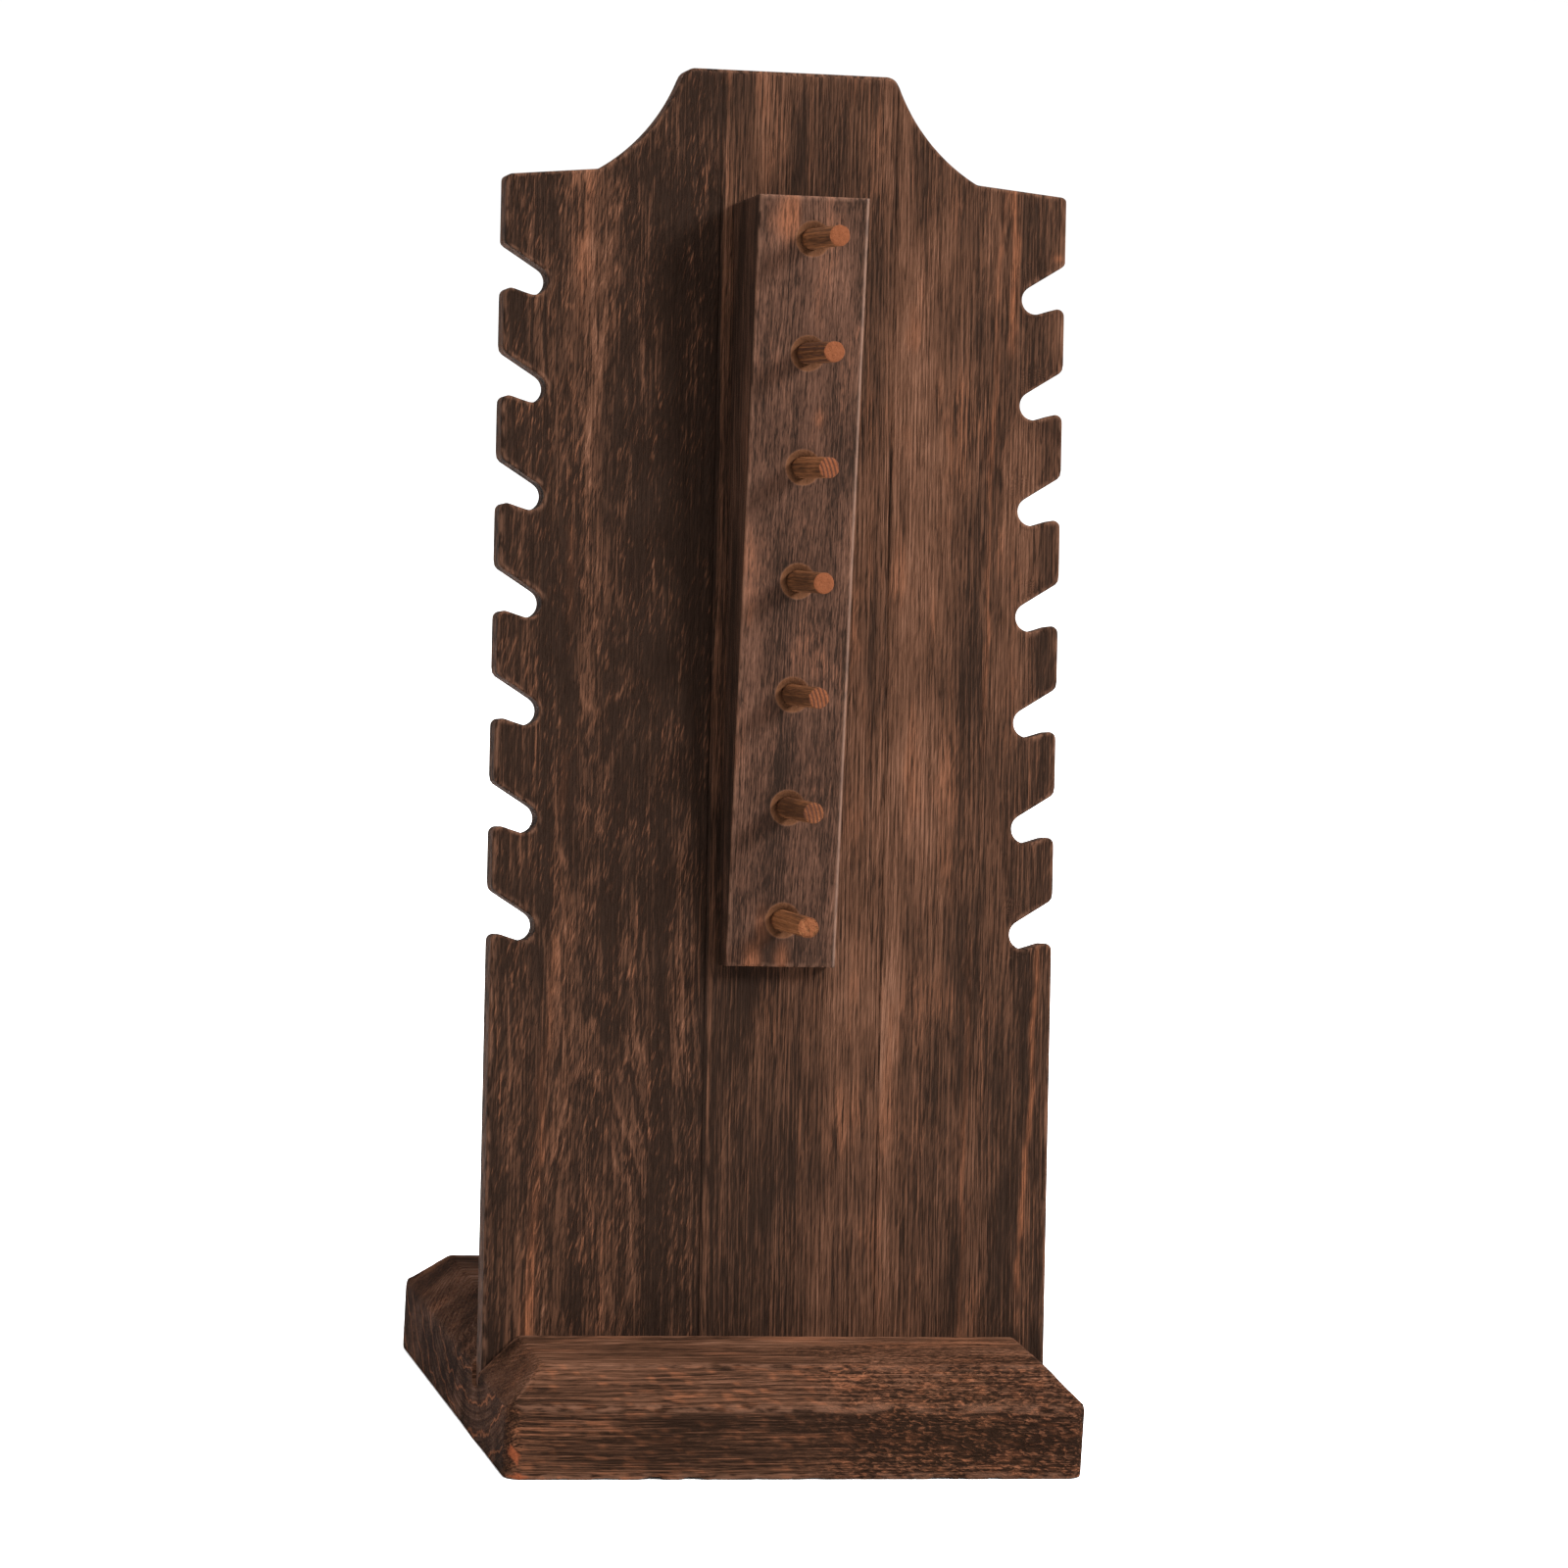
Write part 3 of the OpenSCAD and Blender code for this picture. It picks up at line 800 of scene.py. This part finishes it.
def make_peg(number, peg_w):
    """The rings of points closed at each end by a fan about one point."""
    wood = whittled(number)
    spacing = 1.1 if number in FINE_RINGED else 1.7
    rings = np.hypot(wood[..., 0] - 9 - number, wood[..., 1] + 4) / spacing
    count = len(wood) - 2
    poles = [[0, 0, -TENON_IN], [0, 0, PEG_OUT - 0.2]]
    rings = np.concatenate([rings[1:-1].ravel(), rings[[0, -1], 0]])
    wood = np.concatenate([wood[1:-1].reshape(-1, 3), poles])
    numbers = np.arange(count * AROUND).reshape(count, AROUND)
    loop = np.concatenate([numbers, numbers[:, :1]], 1)[:, ::-1]
    foot, tip = count * AROUND, count * AROUND + 1
    fan = [[foot, b, a] for a, b in zip(loop[0, :-1].tolist(), loop[0, 1:].tolist())]
    fan += [[tip, a, b] for a, b in zip(loop[-1, :-1].tolist(), loop[-1, 1:].tolist())]
    cut = wood[:, 2] > PEG_OUT - 0.45
    piece = make_piece(
        f"peg_{number}_dowel", place_on_rail(*wood.T, peg_w), sheet_faces(loop).tolist() + fan,
        wood + [0, 20 * number, 37 * number], rings,
        {
            "cut": cut * CLEAN_END[number - 1],
            "stripe": np.where(cut, number in STRIPED_ENDS, number == 2),
        },
    )
    settle(piece, "upright", "peg_wood", f"peg_{number}")
    return piece


pegs = [make_peg(n + 1, peg_w) for n, peg_w in enumerate(PEG_W)]

# %% [markdown]
# ## Materials
#
# Every finish is the same story told with other numbers: char in the valleys,
# oiled brown on the ridges, fine fibres along the grain, and rubbed, lighter
# arrises. That story is one node group, Burnt wood, which puts out a colour, a
# roughness and a height. Each material then sets its own values and adds what
# only it shows.

# %% Small helpers for nodes
def add(tree, kind, **settings):
    """A node with its settings made."""
    node = tree.nodes.new(kind)
    for key, value in settings.items():
        setattr(node, key, value)
    return node


def wire(tree, target, value):
    """Puts a number, a colour or another node's output into a socket."""
    if isinstance(value, bpy.types.NodeSocket):
        tree.links.new(value, target)
    else:
        target.default_value = value


def calc(tree, operation, *values, clamp=False):
    """One step of arithmetic."""
    node = add(tree, "ShaderNodeMath", operation=operation, use_clamp=clamp)
    for socket, value in zip(node.inputs, values):
        wire(tree, socket, value)
    return node.outputs[0]


def times(tree, a, b):
    """One value times another."""
    return calc(tree, "MULTIPLY", a, b)


def blend(tree, factor, a, b):
    """One colour laid over another."""
    node = add(tree, "ShaderNodeMix", data_type="RGBA", blend_type="MIX")
    wire(tree, node.inputs[0], factor)
    wire(tree, node.inputs[6], a)
    wire(tree, node.inputs[7], b)
    return node.outputs[2]


def spread(tree, value, low, high, to_low=0.0, to_high=1.0):
    """Stretches a value from one range to another, smoothly."""
    node = add(tree, "ShaderNodeMapRange", interpolation_type="SMOOTHSTEP")
    for socket, v in zip(node.inputs, (value, low, high, to_low, to_high)):
        wire(tree, socket, v)
    return node.outputs[0]


def grain_noise(tree, place, scale, turn=(0, 0, 0), detail=2, roughness=0.5, distortion=0.0):
    """Noise with a count per millimetre along each of the wood's directions.
    The Texture kind of mapping turns first and stretches after, so that long
    fibres can be made to lean."""
    mapping = add(tree, "ShaderNodeMapping", vector_type="TEXTURE")
    wire(tree, mapping.inputs[0], place)
    mapping.inputs["Rotation"].default_value = turn
    mapping.inputs["Scale"].default_value = [1 / s for s in scale]
    noise = add(tree, "ShaderNodeTexNoise")
    wire(tree, noise.inputs["Vector"], mapping.outputs[0])
    noise.inputs["Scale"].default_value = 1.0
    noise.inputs["Detail"].default_value = detail
    noise.inputs["Roughness"].default_value = roughness
    noise.inputs["Distortion"].default_value = distortion
    return noise.outputs["Fac"]


def colour(red, green, blue):
    """An opaque colour."""
    return (red, green, blue, 1.0)


# %% Sockets of the Burnt wood group
BURNT_WOOD_INPUTS = [
    ("Rings", "Float", 0.0), ("Place", "Vector", (0, 0, 0)),
    ("Dark", "Color", colour(0.0085, 0.0044, 0.0028)),
    ("Brown", "Color", colour(0.0375, 0.0165, 0.0092)),
    ("Light", "Color", colour(0.076, 0.036, 0.0218)),
    ("Warm wood", "Color", colour(0.115, 0.041, 0.019)),
    ("Lines", "Float", 1.0), ("Flecks", "Float", 0.3), ("Curl", "Float", 0.0),
    ("Char", "Float", 0.0), ("Warm", "Float", 0.0), ("Edge", "Float", 0.0),
]


def add_sockets(group):
    """Inputs are the ring count, the wood's own directions in millimetres, four
    colours and how strong each effect is."""
    for name, kind, start in BURNT_WOOD_INPUTS:
        socket = group.interface.new_socket(name, in_out="INPUT", socket_type="NodeSocket" + kind)
        socket.default_value = start
    for name, kind in [("Color", "Color"), ("Roughness", "Float"), ("Height", "Float")]:
        group.interface.new_socket(name, in_out="OUTPUT", socket_type="NodeSocket" + kind)


print("the Burnt wood group has", len(BURNT_WOOD_INPUTS), "inputs")

# %% [markdown]
# Brushed wood shows marks of several sizes. Ring lines fade in and out. Cracks,
# fibres and threads run with the grain, and so they are noise that is drawn out
# ten to a hundred times along it. Flecks and pits lean a little, and curl is
# short and wavy. Each mark is a value from 0 to 1.

# %% Marks of the wood
def ring_line(group, count, low, high):
    """A bright line in the middle of each ring: the sine of half a turn."""
    turn = calc(group, "MULTIPLY", calc(group, "FRACT", count), math.pi)
    return spread(group, calc(group, "SINE", turn), low, high)


def wood_marks(group, use):
    """Each mark of the wood, by its name."""
    place = use["Place"]
    waver = grain_noise(group, place, (1.3, 1.3, 0.1), detail=3)
    ridge = ring_line(group, calc(group, "MULTIPLY_ADD", waver, 0.8, use["Rings"]), 0.2, 0.95)
    fine = ring_line(group, calc(group, "MULTIPLY_ADD", use["Rings"], 2.3, waver), 0.72, 1.0)
    fade = spread(group, grain_noise(group, place, (0.14, 0.14, 0.02)), 0.36, 0.66, 0.25, 1.0)
    split = calc(group, "SUBTRACT", grain_noise(group, place, (0.95, 0.95, 0.028), detail=3), 0.5)
    split = spread(group, calc(group, "ABSOLUTE", split), 0.0, 0.045, 1.0, 0.0)
    thread = spread(group, grain_noise(group, place, (2.3, 2.3, 0.022), detail=1), 0.56, 0.7)
    slant = grain_noise(group, place, (1.9, 1.9, 0.24), turn=(0, 0.24, 0), detail=1)
    patch = grain_noise(group, place, (0.13, 0.13, 0.045), detail=3)
    patch = spread(group, patch, 0.38, 0.62, 0.15, 1.0)
    curl = grain_noise(
        group, place, (1.35, 1.35, 0.5), turn=(0.15, 0.15, 0), detail=2, distortion=0.6
    )
    return {
        "ridge": times(group, times(group, ridge, fade), use["Lines"]),
        "fine": times(group, fine, fade),
        "crack": times(group, split, use["Lines"]),
        "thread": times(group, thread, use["Lines"]),
        "fibre": grain_noise(group, place, (3.0, 3.0, 0.06), detail=3, roughness=0.7),
        "dash": spread(group, grain_noise(group, place, (2.1, 2.1, 0.12), detail=2), 0.5, 0.68),
        "band": grain_noise(group, place, (0.1, 0.1, 0.005), detail=2),
        "cloud": grain_noise(group, place, (0.06, 0.06, 0.022), detail=4, roughness=0.6),
        "fleck": times(group, times(group, spread(group, slant, 0.55, 0.7), patch), use["Flecks"]),
        "pit": times(group, spread(group, slant, 0.44, 0.33), use["Flecks"]),
        "tuft": times(group, spread(group, curl, 0.53, 0.66), use["Curl"]),
        "hollow": times(group, spread(group, curl, 0.48, 0.36), use["Curl"]),
    }


# %% [markdown]
# The marks are then weighed up twice. Added up as tone, they say how dark the
# wood is at each point, and tone picks a colour from char to oiled brown; the
# light ridge and fleck shares are partly the wood's own tone and partly painted
# highlight on those proud marks. Added up as height, they say which marks stand
# proud and which are cut in.

# %% Tone, colour and height
# ridge and fleck make the colour lighter: partly the wood's own tone, partly painted highlight on
# the proud ridges and flecks.
TONE_MARKS = {
    "ridge": 0.22, "fibre": 0.58, "fine": 0.2, "cloud": 0.65, "band": 0.8, "thread": 0.2,
    "dash": -0.15, "crack": -0.2, "pit": -0.2, "hollow": -0.26, "tuft": 0.24, "fleck": 0.36,
}
# The averages of cloud, band and thread, taken off so that they add contrast
# and don't make the wood paler.
TONE_START = -0.37 - 0.4 - 0.04
CHAR_SHARE = 0.36
HEIGHT_MARKS = {
    "fibre": 0.6, "ridge": 0.35, "fleck": 0.8, "tuft": 0.7, "thread": 0.3,
    "dash": -0.3, "crack": -0.6, "pit": -0.5, "hollow": -0.8,
}


def weigh(group, marks, shares, start):
    """The sum of each mark times its share."""
    total = start
    for name, share in shares.items():
        total = calc(group, "MULTIPLY_ADD", marks[name], share, total)
    return total


def wood_shade(group, use, marks, tone):
    """Dark to brown to light by tone, then light on worn edges, then a warm
    glow in places, on tufts and flecks and where the mask asks for it."""
    place = use["Place"]
    shade = blend(group, spread(group, tone, 0.0, 0.55), use["Dark"], use["Brown"])
    shade = blend(group, spread(group, tone, 0.42, 0.95), shade, use["Light"])
    worn = spread(group, grain_noise(group, place, (0.5, 0.5, 0.2)), 0.38, 0.62)
    worn = times(group, use["Edge"], worn)
    shade = blend(group, times(group, worn, 0.55), shade, use["Light"])
    glow = grain_noise(group, place, (0.11, 0.11, 0.03), detail=3)
    glow = times(group, spread(group, glow, 0.5, 0.68), 0.3)
    glow = times(group, glow, spread(group, tone, 0.25, 0.6))
    warm = times(group, use["Warm"], spread(group, tone, 0.05, 0.6, 0.3, 1.0))
    tuft, fleck = times(group, marks["tuft"], 0.22), times(group, marks["fleck"], 0.1)
    for factor in (glow, tuft, fleck, warm):
        shade = blend(group, factor, shade, use["Warm wood"])
    return shade


# %% The Burnt wood node group
def burnt_wood_group():
    """Outputs are a colour, a roughness and a height."""
    group = bpy.data.node_groups.new("Burnt wood", "ShaderNodeTree")
    add_sockets(group)
    use = add(group, "NodeGroupInput").outputs
    result = add(group, "NodeGroupOutput").inputs
    marks = wood_marks(group, use)
    tone = weigh(group, marks, TONE_MARKS, TONE_START)
    tone = calc(group, "MULTIPLY_ADD", use["Char"], -CHAR_SHARE, tone, clamp=True)
    wire(group, result["Color"], wood_shade(group, use, marks, tone))
    wire(group, result["Roughness"], spread(group, tone, 0.0, 1.0, 0.75, 0.5))
    wire(group, result["Height"], weigh(group, marks, HEIGHT_MARKS, 0.0))
    return group


burnt_wood = burnt_wood_group()
print("the Burnt wood group has", len(burnt_wood.nodes), "nodes")

# %% A wood material
def attribute(tree, name, output="Fac"):
    """A value kept on the mesh."""
    return add(tree, "ShaderNodeAttribute", attribute_name=name).outputs[output]


def raised(tree, height, strength, distance):
    """The normal of a surface lifted by a height times the distance, in metres."""
    bump = add(tree, "ShaderNodeBump")
    bump.inputs["Strength"].default_value = strength
    bump.inputs["Distance"].default_value = distance
    wire(tree, bump.inputs["Height"], height)
    return bump.outputs[0]


def new_material(name):
    """A material, its tree of nodes and its surface."""
    material = bpy.data.materials.new(name)
    material.use_nodes = True
    return material, material.node_tree, material.node_tree.nodes["Principled BSDF"]


def wood_material(name, relief, gloss, **values):
    """The group with its own values, under an oiled surface."""
    material, tree, shader = new_material(name)
    group = add(tree, "ShaderNodeGroup", node_tree=burnt_wood)
    wire(tree, group.inputs["Rings"], attribute(tree, "rings"))
    wire(tree, group.inputs["Place"], attribute(tree, "wood", "Vector"))
    for key, value in values.items():
        socket = group.inputs[key.replace("_", " ")]
        wire(tree, socket, attribute(tree, value) if isinstance(value, str) else value)
    wire(tree, shader.inputs["Normal"], raised(tree, group.outputs["Height"], relief, 0.0003))
    wire(tree, shader.inputs["Roughness"], group.outputs["Roughness"])
    wire(tree, shader.inputs["Base Color"], group.outputs["Color"])
    shader.inputs["Specular IOR Level"].default_value = gloss
    return material, tree, group, shader


# %% [markdown]
# The base's two ends show end grain. Each is one face, so the finish works its
# rings out there from the distance to the heart, adds a few reddish arcs, and
# leaves the masks of the mesh off it.

# %% Finish of the base
END_SHOWN, END_RING, RED_ARCS_PER_MM = BASE_W - 0.02, 2.6, 0.12

base_wood, tree, group, shader = wood_material(
    "charred base wood", 0.9, 0.004, Lines=1.1, Flecks=0.3
)
wood_place = attribute(tree, "wood", "Vector")
sides = add(tree, "ShaderNodeSeparateXYZ")
wire(tree, sides.inputs[0], wood_place)
squares = [
    calc(tree, "POWER", calc(tree, "SUBTRACT", sides.outputs[n], HEART[n]), 2) for n in range(2)
]
from_heart = calc(tree, "SQRT", calc(tree, "ADD", *squares))
on_end = calc(tree, "GREATER_THAN", calc(tree, "ABSOLUTE", sides.outputs[2]), END_SHOWN)
off_end = calc(tree, "SUBTRACT", 1, on_end)
edge_mask, char_and_shade_mask, curl_mask, warm_mask, chip_mask = (
    times(tree, attribute(tree, name), off_end) for name in ("edge", "char", "curl", "warm", "chip")
)
end_rings = calc(tree, "DIVIDE", from_heart, END_RING)
wire(tree, group.inputs["Rings"], blend(tree, on_end, attribute(tree, "rings"), end_rings))
wire(tree, group.inputs["Edge"], edge_mask)
# The char mask here holds real char plus the painted shade of the front and the painted lighter
# top.
wire(tree, group.inputs["Char"], calc(tree, "MULTIPLY_ADD", on_end, 0.2, char_and_shade_mask))
wire(tree, group.inputs["Curl"], curl_mask)
arc_waver = grain_noise(tree, wood_place, (0.12, 0.12, 0.12))
red_arc = calc(tree, "FRACT", calc(tree, "MULTIPLY_ADD", from_heart, RED_ARCS_PER_MM, arc_waver))
red_arc = times(tree, spread(tree, red_arc, 0.88, 0.95), on_end)
wire(tree, group.inputs["Warm"], calc(tree, "MULTIPLY_ADD", red_arc, 1.4, warm_mask))
chipped = blend(tree, chip_mask, group.outputs["Color"], colour(0.105, 0.029, 0.0125))
wire(tree, shader.inputs["Base Color"], chipped)
base.data.materials.append(base_wood)

# %% Finish of the board
for name, lines, staves in [
    ("brushed stave", 1.0, (middle_stave, right_stave)),
    ("mottled stave", 0.9, (left_stave,)),
]:
    stave_wood = wood_material(
        name, 0.9, 0.02, Edge="edge", Char="char", Warm="warm", Lines=lines, Flecks="flecks"
    )[0]
    for piece in staves:
        piece.data.materials.append(stave_wood)
    print(name, "is on", len(staves), "of the staves")

# %% [markdown]
# The rail is greyer and softer than the board. Drilling left paler, browner
# wood in its countersinks. Their rims and the right arris get painted highlights.

# %% Finish of the rail
rail_wood, tree, group, shader = wood_material(
    "rail wood", 0.6, 0.03, Edge="edge", Warm="warm", Char="char", Lines=0.6, Flecks=0.2,
    Brown=colour(0.043, 0.0198, 0.0122), Light=colour(0.082, 0.041, 0.0262),
)
to_peg = attribute(tree, "from_peg")
in_cone = spread(tree, to_peg, SINK_R - 0.15, SINK_R + 0.05, 0.8, 0.0)
to_rim = calc(tree, "ABSOLUTE", calc(tree, "SUBTRACT", to_peg, SINK_R))
# A painted highlight round each countersink's rim.
painted_rim_highlight = spread(tree, calc(tree, "SUBTRACT", 1, to_rim, clamp=True), 0.6, 1.0, 0.0, 0.2)
shade = blend(tree, in_cone, group.outputs["Color"], colour(0.07, 0.029, 0.0135))
shade = blend(tree, painted_rim_highlight, shade, colour(0.1, 0.048, 0.03))
# A painted highlight on the rail's right arris, in a pale grey-brown.
painted_arris_highlight = times(tree, attribute(tree, "painted_arris_highlight"), 0.3)
shade = blend(tree, painted_arris_highlight, shade, colour(0.17, 0.11, 0.085))
wire(tree, shader.inputs["Base Color"], shade)
rail.data.materials.append(rail_wood)

# %% Finish of the pegs
peg_wood, tree, group, shader = wood_material(
    "peg wood", 0.6, 0.04, Lines=0.7, Flecks=0.1, Dark=colour(0.027, 0.0105, 0.0045),
    Brown=colour(0.1, 0.037, 0.0142), Light=colour(0.14, 0.056, 0.024),
)
shade = blend(tree, attribute(tree, "cut"), group.outputs["Color"], colour(0.072, 0.0222, 0.0086))
stripes = spread(tree, calc(tree, "FRACT", attribute(tree, "rings")), 0.5, 0.62)
stripes = times(tree, times(tree, stripes, attribute(tree, "stripe")), 0.8)
shade = blend(tree, stripes, shade, colour(0.024, 0.0095, 0.006))
wire(tree, shader.inputs["Base Color"], shade)
for peg in pegs:
    peg.data.materials.append(peg_wood)

# %% [markdown]
# ## The screws
#
# Three countersunk screws come through the back of the board into the rail.
# They keep their solids. The steel is blackened, with a little brightness where
# the driver has rubbed it, and fine scratches.

# %% Blackened steel
def blackened_steel():
    """Cloudy oxide with bright scuffs, on the screw's own place."""
    material, tree, shader = new_material("blackened steel")
    place = add(tree, "ShaderNodeTexCoord").outputs["Object"]
    oxide = grain_noise(tree, place, (900, 900, 900), detail=4)
    scuff = spread(tree, grain_noise(tree, place, (2600, 400, 400), detail=2), 0.58, 0.7)
    shade = blend(tree, oxide, colour(0.02, 0.02, 0.022), colour(0.07, 0.068, 0.066))
    shade = blend(tree, times(tree, scuff, 0.6), shade, colour(0.3, 0.29, 0.28))
    wire(tree, shader.inputs["Base Color"], shade)
    wire(tree, shader.inputs["Roughness"], spread(tree, oxide, 0.3, 0.7, 0.55, 0.32))
    shader.inputs["Metallic"].default_value = 0.9
    wire(tree, shader.inputs["Normal"], raised(tree, oxide, 0.3, 0.0001))
    return material


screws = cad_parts["rail_screws"]
screws.data.materials.clear()
screws.data.materials.append(blackened_steel())
print("screws:", len(screws.data.vertices), "points")

# %% [markdown]
# ## Floor, light and camera
#
# A plain pale floor reaches far past the stand, under an even pale sky. One broad
# lamp stands to the front right and a little above, which gives the pegs and the
# rail their soft shadows to the left. A second lamp overhead lifts the top of
# the base.

# %% Floor
def pale_material(name, value):
    """Matt near-white with a trace of unevenness, so it is not a dead flat tone."""
    material, tree, shader = new_material(name)
    place = add(tree, "ShaderNodeTexCoord").outputs["Object"]
    uneven = grain_noise(tree, place, (3, 3, 3))
    bright, dull = colour(value, value, value), colour(value - 0.01, value - 0.01, value - 0.015)
    wire(tree, shader.inputs["Base Color"], blend(tree, uneven, bright, dull))
    shader.inputs["Roughness"].default_value = 0.9
    shader.inputs["Specular IOR Level"].default_value = 0.1
    return material


FLOOR_REACH = 30.0
floor_mesh = bpy.data.meshes.new("floor")
floor_corners = np.array([(-1, -1, 0), (1, -1, 0), (1, 1, 0), (-1, 1, 0)]) * FLOOR_REACH
floor_mesh.from_pydata(floor_corners.tolist(), [], [(0, 1, 2, 3)])
floor_mesh.materials.append(pale_material("pale floor", 0.9))
floor = bpy.data.objects.new("floor", floor_mesh)
bpy.context.scene.collection.objects.link(floor)
floor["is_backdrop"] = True


# %% Light
def lamp(name, place, target, size, power, tint=(1, 1, 1)):
    """A square lamp that looks at a target and isn't itself seen."""
    light = bpy.data.lights.new(name, "AREA")
    light.size, light.energy, light.color = size, power, tint
    holder = bpy.data.objects.new(name, light)
    holder.location = place
    holder.rotation_mode = "QUATERNION"
    holder.rotation_quaternion = (Vector(target) - Vector(place)).to_track_quat("-Z", "Y")
    holder.visible_camera = False
    bpy.context.scene.collection.objects.link(holder)


lamp("key", (1.3, -1.6, 1.35), (0, 0, 0.18), 0.55, 150)
lamp("overhead", (0.1, -0.3, 2.2), (0, 0, 0), 1.4, 110)
world = bpy.data.worlds.new("pale sky")
world.use_nodes = True
world.node_tree.nodes["Background"].inputs[0].default_value = colour(1, 1, 1)
world.node_tree.nodes["Background"].inputs[1].default_value = 1.12
bpy.context.scene.world = world
bpy.context.scene.view_settings.view_transform = "Standard"

# %% Camera
LENS, SENSOR = 157.5, 36
YAW, PITCH, ROLL = math.radians(13.81), math.radians(8.17), math.radians(3.31)
TARGET, DISTANCE = Vector((-0.0052, -0.03975, 0.1849)), 1.872

right = Vector((math.cos(YAW), -math.sin(YAW), 0))
ahead = Vector(
    (math.sin(YAW) * math.cos(PITCH), math.cos(YAW) * math.cos(PITCH), -math.sin(PITCH))
)
up = right.cross(ahead)
rolled_right = math.cos(ROLL) * right + math.sin(ROLL) * up
rolled_up = math.cos(ROLL) * up - math.sin(ROLL) * right
camera_data = bpy.data.cameras.new("camera")
camera_data.lens, camera_data.sensor_width = LENS, SENSOR
camera = bpy.data.objects.new("camera", camera_data)
turn = Matrix((rolled_right, rolled_up, -ahead)).transposed().to_4x4()
camera.matrix_world = Matrix.Translation(TARGET - ahead * DISTANCE) @ turn
bpy.context.scene.collection.objects.link(camera)
bpy.context.scene.camera = camera
print("the camera stands at", [round(v, 3) for v in camera.matrix_world.translation])

# %% Sizes, and the end
model_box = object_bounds()
finished = [round(v * MM, 1) for v in model_box[1] - model_box[0]]
print("the finished stand measures", finished, "mm")
